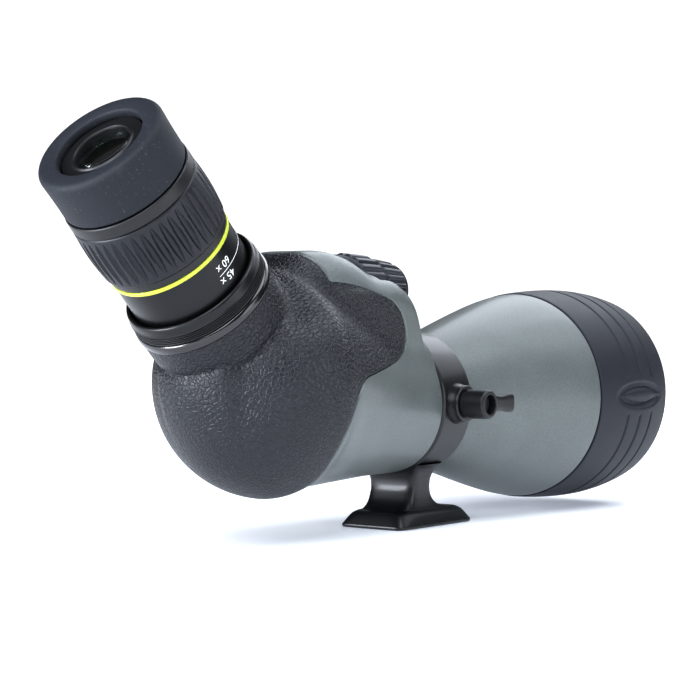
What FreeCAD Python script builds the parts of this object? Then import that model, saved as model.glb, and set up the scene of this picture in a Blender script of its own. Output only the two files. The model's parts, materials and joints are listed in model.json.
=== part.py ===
import FreeCAD, Part

# Angled 82 mm class spotting scope on its tripod collar, in millimetres.
# Frame: +X is forward, towards what is looked at, +Y is the scope's left and +Z is up.
# The origin is the mouth of the tripod thread, in the flat base of the foot.
# The optical axis runs along X at axis_height. Lengths along it, in the gauge, are
# counted from the rear edge of the tripod collar. The eyepiece axis rises backwards at
# 45 degrees from the prism, and lengths along it are counted from the fold of the light.

import math
import os

import Sketcher

doc = FreeCAD.newDocument("SpottingScope")
V = FreeCAD.Vector

# ---------------------------------------------------------------- driving dimensions

CELLS = {
    # where things are
    "axis_height": 58.5,        # optical axis above the base of the foot
    "collar_rear": -17.4,       # rear edge of the collar from the origin
    "fold_station": -83.1,      # where the eyepiece axis leaves the optical axis
    "focus_rise": 52.7,         # focus shaft above the optical axis
    "eyepiece_tilt": 45.0,      # degrees between the two axes
    # fits, all radial
    "running": 0.06,            # turning and sliding pairs
    # tripod collar and foot
    "collar_length": 23.5,
    "collar_outer": 33.4,
    "collar_bore": 30.0,
    "journal_outer": 28.9,
    "journal_bore": 26.4,
    "journal_length": 58.0,
    "foot_length": 60.0,
    "foot_width": 34.6,
    "foot_edge": 1.2,           # height of the base's upright edge
    "foot_crown": 8.0,          # height of the base where the post starts
    "foot_draft": 4.2,          # how far the base's sides lean in up to its crown
    "post_length": 15.8,
    "post_width": 26.0,
    "thread_minor": 2.55,       # 1/4"-20 internal thread, minor radius
    "insert_outer": 5.0,
    "insert_length": 11.0,
    "pin_hole": 2.4,            # anti-twist pin of a video plate
    "pin_station": 13.5,
    "pin_depth": 5.0,
    # clamp on the collar's right side, counted outwards from the optical axis
    "boss_outer": 8.6,
    "boss_face": 38.4,
    "stud_outer": 3.0,
    "pad_outer": 2.8,
    "pad_length": 4.0,
    "hub_outer": 6.8,
    "hub_face": 51.2,
    "hub_bore": 4.5,
    "hub_floor": 45.6,
    "paddle_reach": 21.5,
    "paddle_height": 8.6,
    "paddle_thick": 4.2,
    "paddle_scoop": 5.2,
    # prism housing
    "ball_outer": 51.0,
    "ball_station": -86.7,
    "ball_rise": 11.9,
    "armour_thick": 1.4,
    "wall": 2.2,
    "neck_foot": 28.4,
    "neck_top": 31.0,
    "neck_end": 66.2,
    "neck_bore": 24.6,
    "trough_radius": 18.6,
    "trough_rear": -37.6,
    "hump_cavity_top": 58.2,
    "hump_cavity_half": 18.0,
    # objective barrel
    "bell_rear": 24.2,
    "bell_front": 111.9,
    "bell_rear_outer": 30.3,
    "bell_front_outer": 51.8,
    "barrel_outer": 47.4,
    "barrel_bore": 45.2,
    "barrel_front": 168.0,
    "glass_radius": 41.5,
    "cell_front": 165.5,
    # sunshade
    "shade_rear": 112.6,
    "shade_front": 182.9,
    "shade_rear_outer": 52.3,
    "shade_belly_outer": 54.3,  # widest, half way along
    "shade_front_outer": 50.5,
    "shade_sleeve_outer": 49.3,
    "shade_sleeve_bore": 48.3,
    "groove_depth": 0.9,
    "groove_half": 0.8,
    "groove_first": 137.6,
    "groove_step": 12.4,
    # focus drive
    "coarse_outer": 17.0,
    "coarse_rear": -36.0,
    "coarse_front": -17.8,
    "fine_outer": 15.2,
    "fine_rear": -17.2,
    "fine_front": 0.6,
    "focus_shaft": 4.0,
    "fine_shaft": 2.0,
    "knob_ribs": 22,
    "rib_cut": 1.3,
    "carriage_rear": -51.0,
    "carriage_front": -43.0,
    "carriage_outer": 24.6,
    "focus_glass": 20.0,
    "rod_radius": 1.5,
    "rod_spread": 28.2,
    "screw_outer": 2.5,         # lead screw of the focus drive
    "nut_outer": 4.2,
    "prism_ring_front": -62.1,
    # prism
    "prism_half": 17.0,
    # eyepiece, counted along its own axis
    "flange_outer": 31.6,
    "flange_top": 70.6,
    "spigot_outer": 27.7,
    "spigot_top": 75.0,
    "lock_outer": 30.9,
    "lock_top": 79.5,
    "lock_lip": 28.4,
    "core_outer": 22.0,
    "core_bore": 20.0,
    "core_bottom": 46.0,
    "core_top": 146.0,
    "scale_bottom": 75.8,
    "scale_top": 95.9,
    "scale_outer": 27.0,
    "lime_top": 98.0,
    "lime_outer": 27.5,
    "grip_bottom": 101.6,
    "grip_top": 127.6,
    "grip_outer": 29.0,
    "grip_grooves": 26,
    "band_top": 133.4,
    "band_outer": 28.1,
    "eye_face": 152.6,
    "eye_glass": 12.4,
    "cup_bottom": 135.2,
    "cup_top": 155.6,
    "cup_outer": 28.3,
    "cup_hole": 19.1,
}

sheet = doc.addObject("Spreadsheet::Sheet", "Sizes")
for row, (word, number) in enumerate(CELLS.items(), start=1):
    sheet.set("A%d" % row, word)
    sheet.set("B%d" % row, str(number))
    sheet.setAlias("B%d" % row, word)
doc.recompute()


class Size:
    """A length that knows its number and the sheet expression that gives it."""

    def __init__(self, value, text=None):
        self.value = float(value)
        self.text = text if text is not None else repr(float(value))

    @staticmethod
    def of(other):
        return other if isinstance(other, Size) else Size(other)

    def join(self, sign, other, value):
        return Size(value, "(%s %s %s)" % (self.text, sign, other.text))

    def __add__(self, other):
        other = Size.of(other)
        return self.join("+", other, self.value + other.value)

    def __sub__(self, other):
        other = Size.of(other)
        return self.join("-", other, self.value - other.value)

    def __mul__(self, other):
        other = Size.of(other)
        return self.join("*", other, self.value * other.value)

    def __truediv__(self, other):
        other = Size.of(other)
        return self.join("/", other, self.value / other.value)

    def __radd__(self, other):
        return Size.of(other) + self

    def __rsub__(self, other):
        return Size.of(other) - self

    def __rmul__(self, other):
        return Size.of(other) * self

    def __neg__(self):
        return Size(0) - self


class Sheet:
    """Reads a cell as a Size: S.axis_height and so on."""

    def __getattr__(self, word):
        return Size(CELLS[word], "Sizes." + word)


S = Sheet()
ZERO = Size(0)

# ---------------------------------------------------------------- frames


class Frame:
    """A place and a direction that pieces are drawn in, x first."""

    def __init__(self, at_x, at_y, at_z, rotation):
        self.base = (Size.of(at_x), Size.of(at_y), Size.of(at_z))
        self.rotation = rotation

    def hold(self, thing, along=ZERO, side=ZERO, up=ZERO, turn=None):
        """Places a thing at a point of this frame, bound to the sheet."""
        moves = (Size.of(along), Size.of(side), Size.of(up))
        rows = [self.rotation.multVec(V(*axis)) for axis in ((1, 0, 0), (0, 1, 0), (0, 0, 1))]
        rotation = self.rotation.multiply(turn) if turn else self.rotation
        total = list(self.base)
        for move, row in zip(moves, rows):
            for index, share in enumerate(row):
                if abs(share) > 1e-9 and move.text != ZERO.text:
                    total[index] = total[index] + move * round(share, 12)
        thing.Placement = FreeCAD.Placement(V(*[part.value for part in total]), rotation)
        for axis, part in zip("xyz", total):
            thing.setExpression("Placement.Base." + axis, part.text)
        return thing


FLAT = FreeCAD.Rotation()
WORLD = Frame(0, 0, 0, FLAT)
OPTICS = Frame(S.collar_rear, 0, S.axis_height, FLAT)
FOCUS = Frame(S.collar_rear, 0, S.axis_height + S.focus_rise, FLAT)
EYEPIECE = Frame(S.collar_rear + S.fold_station, 0, S.axis_height,
                 FreeCAD.Rotation(V(0, 1, 0), CELLS["eyepiece_tilt"] - 180.0))
CLAMP = Frame(S.collar_rear + S.collar_length / 2, 0, S.axis_height,
              FreeCAD.Rotation(V(0, 0, 1), -90))
Z_TO_X = FreeCAD.Rotation(V(0, 1, 0), 90)

# ---------------------------------------------------------------- ways to make a piece

pieces = []


def keep(thing, label):
    """Marks a finished sub-part."""
    thing.Label = label
    pieces.append(thing)
    return thing


def draft(thing, label):
    """Names a helper that goes into a sub-part."""
    thing.Label = label
    return thing


def new_body(label, frame=OPTICS):
    body = doc.addObject("PartDesign::Body", label)
    frame.hold(body)
    return body


def new_sketch(body, role, name, offset=None):
    plane = [item for item in body.Origin.OriginFeatures if item.Role == role][0]
    sketch = body.newObject("Sketcher::SketchObject", name)
    sketch.AttachmentSupport = [(plane, "")]
    sketch.MapMode = "FlatFace"
    if offset is not None:
        sketch.setExpression("AttachmentOffset.Base.z", Size.of(offset).text)
    return sketch


def fix_point(sketch, element, end, spot):
    """Ties one end of an element to two sheet sizes."""
    for kind, size in zip(("DistanceX", "DistanceY"), spot):
        size = Size.of(size)
        index = sketch.addConstraint(Sketcher.Constraint(kind, -1, 1, element, end, size.value))
        sketch.setExpression("Constraints[%d]" % index, size.text)


def polygon(sketch, spots):
    """A closed outline of straight edges, each corner bound to the sheet."""
    spots = [(Size.of(across), Size.of(up)) for across, up in spots]
    count = len(spots)
    for index in range(count):
        start, stop = spots[index], spots[(index + 1) % count]
        sketch.addGeometry(Part.LineSegment(V(start[0].value, start[1].value, 0),
                                            V(stop[0].value, stop[1].value, 0)), False)
    for index in range(count):
        after = (index + 1) % count
        sketch.addConstraint(Sketcher.Constraint("Coincident", index, 2, after, 1))
        fix_point(sketch, index, 1, spots[index])
    return sketch


def circle(sketch, centre, radius):
    centre = (Size.of(centre[0]), Size.of(centre[1]))
    radius = Size.of(radius)
    element = sketch.addGeometry(
        Part.Circle(V(centre[0].value, centre[1].value, 0), V(0, 0, 1), radius.value), False)
    index = sketch.addConstraint(Sketcher.Constraint("Radius", element, radius.value))
    sketch.setExpression("Constraints[%d]" % index, radius.text)
    fix_point(sketch, element, 3, centre)
    return sketch


def turned_body(label, spots, frame=OPTICS):
    """A body turned about the frame's x axis; spots are (along, radius)."""
    body = new_body(label, frame)
    sketch = polygon(new_sketch(body, "XZ_Plane", label + "_profile"), spots)
    turn = body.newObject("PartDesign::Revolution", label + "_turn")
    turn.Profile = sketch
    turn.ReferenceAxis = (sketch, ["H_Axis"])
    turn.Angle = 360
    body.Tip = turn
    return body


def turned(label, spots, frame=OPTICS):
    return keep(turned_body(label, spots, frame), label)


def tube(rear, front, inner, outer):
    """The profile of a plain ring."""
    return [(rear, inner), (front, inner), (front, outer), (rear, outer)]


def along_x(body, name):
    return [item for item in body.Origin.OriginFeatures if item.Role == name][0]


def cut_round(body, label, start, length, centre, radius, count=1):
    """Cuts round holes or flutes that run forwards along x from a station."""
    sketch = circle(new_sketch(body, "YZ_Plane", label + "_outline", start), centre, radius)
    cut = body.newObject("PartDesign::Pocket", label)
    cut.Profile = sketch
    cut.Reversed = True
    cut.setExpression("Length", Size.of(length).text)
    body.Tip = cut
    if Size.of(count).value > 1:
        ring = body.newObject("PartDesign::PolarPattern", label + "_ring")
        ring.Originals = [cut]
        ring.Axis = (along_x(body, "X_Axis"), [""])
        ring.Angle = 360
        ring.Occurrences = int(Size.of(count).value)
        if count != 1 and isinstance(count, Size):
            ring.setExpression("Occurrences", count.text)
        body.Tip = ring
    return body


def cylinder(label, radius, length, frame=OPTICS, along=ZERO, side=ZERO, up=ZERO, turn=Z_TO_X):
    """A Part cylinder that runs along the frame's x axis."""
    item = doc.addObject("Part::Cylinder", label)
    item.setExpression("Radius", Size.of(radius).text)
    item.setExpression("Height", Size.of(length).text)
    frame.hold(item, along, side, up, turn)
    return draft(item, label)


def cone(label, start_radius, end_radius, length, frame, along):
    item = doc.addObject("Part::Cone", label)
    item.setExpression("Radius1", Size.of(start_radius).text)
    item.setExpression("Radius2", Size.of(end_radius).text)
    item.setExpression("Height", Size.of(length).text)
    frame.hold(item, along, turn=Z_TO_X)
    return draft(item, label)


def sphere(label, radius, frame, along, up=ZERO):
    item = doc.addObject("Part::Sphere", label)
    item.setExpression("Radius", Size.of(radius).text)
    frame.hold(item, along, ZERO, up)
    return draft(item, label)


def box(label, spans, frame=OPTICS):
    """A Part box between (low, high) spans along x, y and z."""
    item = doc.addObject("Part::Box", label)
    for side, (low, high) in zip(("Length", "Width", "Height"), spans):
        item.setExpression(side, (Size.of(high) - Size.of(low)).text)
    frame.hold(item, *[Size.of(low) for low, high in spans])
    return draft(item, label)


def fuse(label, items):
    joined = doc.addObject("Part::MultiFuse", label)
    joined.Shapes = items
    return draft(joined, label)


def common(label, items):
    shared = doc.addObject("Part::MultiCommon", label)
    shared.Shapes = items
    return draft(shared, label)


def cut_away(label, base, tools):
    """The base less every tool."""
    tool = tools[0] if len(tools) == 1 else fuse(label + "_tools", tools)
    result = doc.addObject("Part::Cut", label)
    result.Base = base
    result.Tool = tool
    return draft(result, label)


def lens(label, frame, rear, front, radius, rear_curve, front_curve):
    """A lens between two stations on its axis; a curve under zero is hollow."""
    rear, front, radius = Size.of(rear), Size.of(front), Size.of(radius)
    blank = cylinder(label + "_blank", radius, front - rear, frame, rear)
    hollows = []
    rounds = [blank]
    for name, face, curve, inward in (("rear", rear, rear_curve, 1), ("front", front, front_curve, -1)):
        if curve == 0:
            continue
        reach = Size.of(abs(curve))
        if curve > 0:
            rounds.append(sphere(label + "_" + name, reach, frame, face + inward * reach))
        else:
            sag = abs(curve) - math.sqrt(curve * curve - radius.value ** 2)
            hollows.append(sphere(label + "_" + name, reach, frame, face + inward * (sag - reach)))
    glass = common(label + "_glass", rounds) if len(rounds) > 1 else blank
    if hollows:
        glass = cut_away(label + "_ground", glass, hollows)
    return keep(glass, label)


# ---------------------------------------------------------------- tripod collar and foot


def chamfered_plan(body, name, height, half_long, half_wide, corner):
    """A rectangle with cut corners, at a height above the body's own floor."""
    quarter = [(half_long, half_wide - corner), (half_long - corner, half_wide)]
    spots = quarter + [(-across, up) for across, up in reversed(quarter)]
    spots += [(-across, -up) for across, up in quarter]
    spots += [(across, -up) for across, up in reversed(quarter)]
    return polygon(new_sketch(body, "XY_Plane", name, height), spots)


def make_collar():
    ring = cylinder("collar_ring", S.collar_outer, S.collar_length)
    boss = cylinder("clamp_boss", S.boss_outer, S.boss_face - 20, CLAMP, Size(20))

    # a flat base whose four sides lean in
    base_body = new_body("foot_base", WORLD)
    half_long, half_wide, corner = S.foot_length / 2, S.foot_width / 2, 4
    plans = [chamfered_plan(base_body, "foot_plan", ZERO, half_long, half_wide, corner),
             chamfered_plan(base_body, "foot_rim", S.foot_edge, half_long, half_wide, corner),
             chamfered_plan(base_body, "foot_top", S.foot_crown, half_long - S.foot_draft,
                            half_wide - S.foot_draft * 0.8, corner)]
    slab = base_body.newObject("PartDesign::Pad", "foot_slab")
    slab.Profile = plans[0]
    slab.setExpression("Length", S.foot_edge.text)
    flare = base_body.newObject("PartDesign::AdditiveLoft", "foot_flare")
    flare.Profile = plans[1]
    flare.Sections = [plans[2]]
    base_body.Tip = flare

    # the post stands under the collar: one body has its side view, the other its front view
    middle = S.collar_rear + S.collar_length / 2
    half, crown = S.post_length / 2, S.foot_crown
    top = S.axis_height - S.collar_bore + 4
    flank = [(half + 8, crown - 2), (half + 7, crown), (half + 3.4, crown + 1.2), (half + 1.2, crown + 3.6),
             (half, crown + 8), (half, crown + 12), (S.collar_length / 2, top)]
    side_body = new_body("post_side", WORLD)
    side = polygon(new_sketch(side_body, "XZ_Plane", "post_side_view"),
                   [(middle + across, up) for across, up in flank]
                   + [(middle - across, up) for across, up in reversed(flank)])
    half = S.post_width / 2
    rise = [(half + 1.6, crown - 2), (half + 0.9, crown), (half, crown + 6), (half + 1.5, top)]
    front_body = new_body("post_front", WORLD)
    front = polygon(new_sketch(front_body, "YZ_Plane", "post_front_view"),
                    rise + [(-across, up) for across, up in reversed(rise)])
    for body, view, depth in ((side_body, side, S.foot_width), (front_body, front, S.foot_length)):
        block = body.newObject("PartDesign::Pad", view.Name + "_block")
        block.Profile = view
        block.Midplane = True
        block.setExpression("Length", depth.text)
        body.Tip = block

    neck = common("foot_neck", [side_body, front_body])
    casting = fuse("collar_casting", [ring, boss, base_body, neck])
    bore = cylinder("collar_bore", S.collar_bore, S.collar_length + 20, OPTICS, Size(-10))
    stud = cylinder("stud_hole", S.stud_outer + S.running, Size(20), CLAMP, Size(25))
    seat = cylinder("insert_seat", S.insert_outer, S.insert_length, WORLD, turn=FLAT)
    pin = cylinder("pin_hole", S.pin_hole, S.pin_depth, WORLD, S.pin_station, turn=FLAT)
    keep(cut_away("tripod_collar", casting, [bore, stud, seat, pin]), "tripod_collar")

    insert = cylinder("insert_blank", S.insert_outer, S.insert_length, WORLD, turn=FLAT)
    thread = cylinder("insert_thread", S.thread_minor, S.insert_length + 2, WORLD, up=Size(-1), turn=FLAT)
    keep(cut_away("tripod_insert", insert, [thread]), "tripod_insert")

    strip = turned_body("liner_strip", tube(1.5, S.collar_length - 1.5,
                                            S.journal_outer + S.running, S.collar_bore))
    window = cylinder("liner_window", S.stud_outer + 0.3, Size(10), CLAMP, Size(25))
    keep(cut_away("collar_liner", strip, [window]), "collar_liner")


def make_clamp():
    pad_foot = S.journal_outer + 0.08
    keep(cylinder("clamp_pad", S.pad_outer, S.pad_length, CLAMP, pad_foot), "clamp_pad")
    stud_foot = pad_foot + S.pad_length + 0.02
    keep(cylinder("clamp_stud", S.stud_outer, S.hub_floor - stud_foot, CLAMP, stud_foot), "clamp_stud")
    turned("clamp_washer", tube(S.boss_face + 0.1, S.boss_face + 0.7, S.stud_outer, S.hub_outer - 0.7),
           CLAMP)

    hub = turned_body("clamp_hub", [
        (S.boss_face + 0.7, S.stud_outer), (S.hub_floor, S.stud_outer), (S.hub_floor, S.hub_bore),
        (S.hub_face, S.hub_bore), (S.hub_face, S.hub_outer - 1.2), (S.hub_face - 1.2, S.hub_outer),
        (S.boss_face + 1.3, S.hub_outer), (S.boss_face + 0.7, S.hub_outer - 0.6)], CLAMP)
    # the paddle lies flat towards the front of the scope, with a scoop above and below
    rear_face = S.hub_face - 2.2 - S.paddle_thick
    blade = box("paddle_blade", [(rear_face, rear_face + S.paddle_thick),
                                 (S.hub_bore + 0.6, S.paddle_reach - 4.3),
                                 (-S.paddle_height / 2, S.paddle_height / 2)], CLAMP)
    tip = cylinder("paddle_tip", S.paddle_height / 2, S.paddle_thick, CLAMP, rear_face,
                   S.paddle_reach - 4.3)
    scoops = [cylinder("scoop_%d" % index, S.paddle_scoop, S.paddle_thick + 2, CLAMP, rear_face - 1,
                       Size(12.4), sign * (S.paddle_height / 2 + S.paddle_scoop - 1.5))
              for index, sign in enumerate((-1, 1))]
    paddle = cut_away("paddle", fuse("paddle_form", [blade, tip]), scoops)
    keep(fuse("clamp_lever", [hub, paddle]), "clamp_lever")
    turned("clamp_cap_screw", [
        (S.hub_floor, ZERO), (S.hub_floor + 2.6, ZERO), (S.hub_floor + 2.6, S.hub_bore - 0.9),
        (S.hub_floor, S.hub_bore - 0.9)], CLAMP)


# ---------------------------------------------------------------- prism housing

# hump that carries the focus drive: (station, half width, top, corner radius)
HUMP = [(-98.0, 19.0, 53.0, 13.0), (-87.0, 22.5, 65.5, 15.0), (-72.0, 26.5, 69.6, 17.0),
        (-57.0, 29.0, 67.2, 16.0), (-45.0, 30.0, 60.8, 13.0), (-24.0, 29.6, 56.6, 12.0),
        (-15.0, 29.0, 50.4, 12.0), (-7.0, 28.0, 34.0, 12.0)]
# barrel between the ball and the collar: (station, rise of the centre, radius)
BARREL = [(-84.0, 11.6, 50.6), (-66.0, 9.2, 46.4), (-46.0, 5.2, 40.2), (-24.0, 1.6, 35.0),
          (-0.7, 0.0, 33.0)]


def hump_section(body, name, station, half, top, corner):
    """An upright slot outline with rounded upper corners."""
    sketch = new_sketch(body, "YZ_Plane", name, Size(station))
    half, top, corner = Size.of(half), Size.of(top), Size.of(corner)
    flat = half - corner
    lines = [((-half, ZERO), (half, ZERO)), ((half, ZERO), (half, top - corner)),
             ((flat, top), (-flat, top)), ((-half, top - corner), (-half, ZERO))]
    for start, stop in lines:
        element = sketch.addGeometry(Part.LineSegment(V(start[0].value, start[1].value, 0),
                                                      V(stop[0].value, stop[1].value, 0)), False)
        fix_point(sketch, element, 1, start)
        fix_point(sketch, element, 2, stop)
    for centre, begin, end, first, last in ((flat, 0, 90, (1, 2), (2, 1)),
                                            (-flat, 90, 180, (2, 2), (3, 1))):
        arc = Part.ArcOfCircle(Part.Circle(V(centre.value, (top - corner).value, 0), V(0, 0, 1),
                                           corner.value),
                               math.radians(begin), math.radians(end))
        element = sketch.addGeometry(arc, False)
        sketch.addConstraint(Sketcher.Constraint("Coincident", element, 1, *first))
        sketch.addConstraint(Sketcher.Constraint("Coincident", element, 2, *last))
        index = sketch.addConstraint(Sketcher.Constraint("Radius", element, corner.value))
        sketch.setExpression("Constraints[%d]" % index, corner.text)
    return sketch


def loft(body, label, sections):
    shape = body.newObject("PartDesign::AdditiveLoft", label)
    shape.Profile = sections[0]
    shape.Sections = sections[1:]
    body.Tip = shape
    return body


def housing_form(name, inset):
    """The outer form of the housing, drawn in by an inset, without the knob trough."""
    inset = Size.of(inset)
    ball = sphere(name + "_ball", S.ball_outer - inset, OPTICS, S.ball_station, S.ball_rise)
    barrel = new_body(name + "_barrel")
    rounds = [circle(new_sketch(barrel, "YZ_Plane", "%s_round_%d" % (name, index), Size(station)),
                     (ZERO, rise), Size(radius) - inset)
              for index, (station, rise, radius) in enumerate(BARREL)]
    loft(barrel, name + "_barrel_loft", rounds)
    hump = new_body(name + "_hump")
    slots = [hump_section(hump, "%s_slot_%d" % (name, index), station, half - inset, top - inset, corner)
             for index, (station, half, top, corner) in enumerate(HUMP)]
    loft(hump, name + "_hump_loft", slots)
    neck = cone(name + "_neck", S.neck_foot - inset, S.neck_top - inset, S.neck_end - 30, EYEPIECE,
                Size(30))
    return fuse(name, [ball, barrel, hump, neck])


def make_housing():
    outer = housing_form("housing_skin", 0)
    core = housing_form("housing_core", S.armour_thick)
    trough = cylinder("knob_trough", S.trough_radius, -S.trough_rear + 5, FOCUS, S.trough_rear)
    slot = box("trough_mouth", [(S.trough_rear, 5), (-S.trough_radius, S.trough_radius), (0, 30)], FOCUS)

    # the rubber reaches forwards along each side and stops short of the hump's top
    zone_body = new_body("armour_zone")
    zone = polygon(new_sketch(zone_body, "XZ_Plane", "armour_edge"), [
        (-68, 90), (-68, 66), (-66, 58), (-61, 54), (-41, 52), (-31, 47), (-26, 38), (-27, 29), (-38, 21),
        (-55, 13), (-66, 5), (-76, -7), (-85, -20), (-91, -50), (-190, -50), (-190, 90)])
    block = zone_body.newObject("PartDesign::Pad", "armour_block")
    block.Profile = zone
    block.Midplane = True
    block.Length = 130
    zone_body.Tip = block
    rind = cut_away("armour_rind", outer, [core, trough, slot])
    armour = common("armour_form", [rind, zone_body])
    keep(armour, "rubber_armour")

    inset = S.armour_thick + S.wall
    hollows = [
        sphere("ball_hollow", S.ball_outer - inset, OPTICS, S.ball_station, S.ball_rise),
        cone("barrel_hollow", Size(35.0), Size(30.2), Size(62), OPTICS, Size(-80)),
        box("rod_hollow", [(-66, -27), (-32, 32), (-6, 6)]),
        cylinder("journal_seat", S.journal_outer, Size(30), OPTICS, Size(-25)),
        cylinder("neck_hollow", S.neck_bore, S.neck_end - 20 + 5, EYEPIECE, Size(20)),
        box("hump_hollow", [(-86, S.trough_rear - 6.4), (-S.hump_cavity_half, S.hump_cavity_half),
                            (10, S.hump_cavity_top)]),
        cylinder("bush_seat", Size(7.0), Size(10), FOCUS, S.trough_rear - 8),
    ]
    keep(cut_away("body_shell", outer, [armour, trough, slot] + hollows), "body_shell")
    turned("journal_tube", tube(-18, -18 + S.journal_length, S.journal_bore, S.journal_outer))


# ---------------------------------------------------------------- objective barrel


def bell_outline(count, inset):
    """Stations and radii of the flared barrel: a cubic curve between its two ends."""
    ends = [(S.bell_rear, S.bell_rear_outer), (S.bell_rear + 39.8, S.bell_rear_outer + 11.0),
            (S.bell_front - 12.9, S.bell_front_outer - 0.6), (S.bell_front, S.bell_front_outer)]
    spots = []
    for step in range(count + 1):
        part = step / count
        weights = [(1 - part) ** 3, 3 * part * (1 - part) ** 2, 3 * part ** 2 * (1 - part), part ** 3]
        station = sum((weight * end[0] for weight, end in zip(weights, ends)), ZERO)
        radius = sum((weight * end[1] for weight, end in zip(weights, ends)), ZERO)
        spots.append((station, radius - inset))
    return spots


def make_barrel():
    outside = bell_outline(9, ZERO)
    inside = [spot for spot in bell_outline(9, S.wall) if spot[1].value > CELLS["journal_outer"] + 1.5]
    inside = [spot for spot in inside if spot[0].value < CELLS["bell_front"] - 14]
    seat = -18 + S.journal_length
    turned("objective_barrel", [(S.bell_rear, S.journal_outer), (seat, S.journal_outer),
                                (seat, inside[0][1] - 0.6)] + [spot
                                                               for spot in inside if spot[0].value > 41]
           + [(S.bell_front - 13, S.barrel_bore), (S.barrel_front, S.barrel_bore),
              (S.barrel_front, S.barrel_outer), (S.bell_front, S.barrel_outer)] + outside[::-1])
    turned("barrel_baffle", [(60.0, 33.0), (61.2, 33.0), (72.0, 39.6), (73.6, 39.6), (73.6, 40.9),
                             (71.6, 40.9),
                             (60.0, 34.2)])
    turned("objective_cell", [(132.0, 39.6), (138.0, 39.6), (138.0, S.glass_radius),
                              (S.cell_front, S.glass_radius),
                              (S.cell_front, S.barrel_bore), (132.0, S.barrel_bore)])
    lens("objective_flint", OPTICS, 138.0, 145.0, S.glass_radius, 0, -170)
    turned("objective_spacer", tube(145.0, 147.5, S.glass_radius - 2.0, S.glass_radius))
    lens("objective_crown", OPTICS, 147.5, 160.0, S.glass_radius, 150, 175)
    turned("objective_retainer", [(157.4, S.glass_radius - 0.05), (157.4, S.glass_radius - 0.1),
                                  (160.2, 39.4),
                                  (163.4, 39.4), (163.4, S.glass_radius), (160.2, S.glass_radius)])
    turned("shade_felt", tube(118.0, 124.0, S.barrel_outer, S.shade_sleeve_bore - S.running))


def make_shade():
    rear, front = S.shade_rear, S.shade_front
    turned("shade_sleeve", [(rear + 0.6, S.shade_sleeve_bore), (front - 1.4, S.shade_sleeve_bore),
                            (front - 1.4, S.shade_sleeve_outer), (rear + 0.6, S.shade_sleeve_outer)])
    half = (front - rear) / 2

    def skin(station):
        """Two parabolas that meet at the belly, half way along."""
        part = (station - rear) / half - 1
        end = S.shade_rear_outer if part.value < 0 else S.shade_front_outer
        return S.shade_belly_outer - (S.shade_belly_outer - end) * part * part

    outline = [(rear, S.shade_sleeve_bore), (rear, skin(rear) - 0.8), (rear + 0.8, skin(rear + 0.8))]
    plain = [rear + 8, rear + 16]
    for number in range(3):
        middle = S.groove_first + number * S.groove_step
        outline += [(spot, skin(spot)) for spot in plain]
        outline += [(middle - S.groove_half, skin(middle)),
                    (middle - S.groove_half / 2, skin(middle) - S.groove_depth),
                    (middle + S.groove_half / 2, skin(middle) - S.groove_depth),
                    (middle + S.groove_half, skin(middle))]
        plain = [middle + S.groove_step / 2]
    outline += [(spot, skin(spot)) for spot in plain + [front - 6]]
    outline += [(front - 1.6, skin(front - 1.6)), (front, skin(front) - 1.6),
                (front, S.shade_sleeve_bore - 0.9),
                (front - 1.4, S.shade_sleeve_bore - 0.9), (front - 1.4, S.shade_sleeve_outer),
                (rear + 0.6, S.shade_sleeve_outer), (rear + 0.6, S.shade_sleeve_bore)]
    turned("shade_rubber", outline)


# ---------------------------------------------------------------- focus drive


def make_knob(name, rear, front, outer, taper, bore):
    """A knob core with a ribbed rubber sleeve round it."""
    rim = outer - 3.4
    turned(name + "_knob", [(rear, bore), (front - 0.4, bore), (front - 0.4, rim - 0.6), (front, rim),
                            (rear, rim)], FOCUS)
    sleeve = turned_body(name + "_grip", [
        (rear, rim), (front, rim), (front, outer - taper - 1.4), (front - 1.4, outer - taper),
        (rear + 1.2, outer), (rear, outer - 1.2)], FOCUS)
    cut_round(sleeve, name + "_flutes", rear - 1, front - rear + 2, (ZERO, outer + 0.5), S.rib_cut,
              S.knob_ribs)
    keep(sleeve, name + "_grip")


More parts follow.
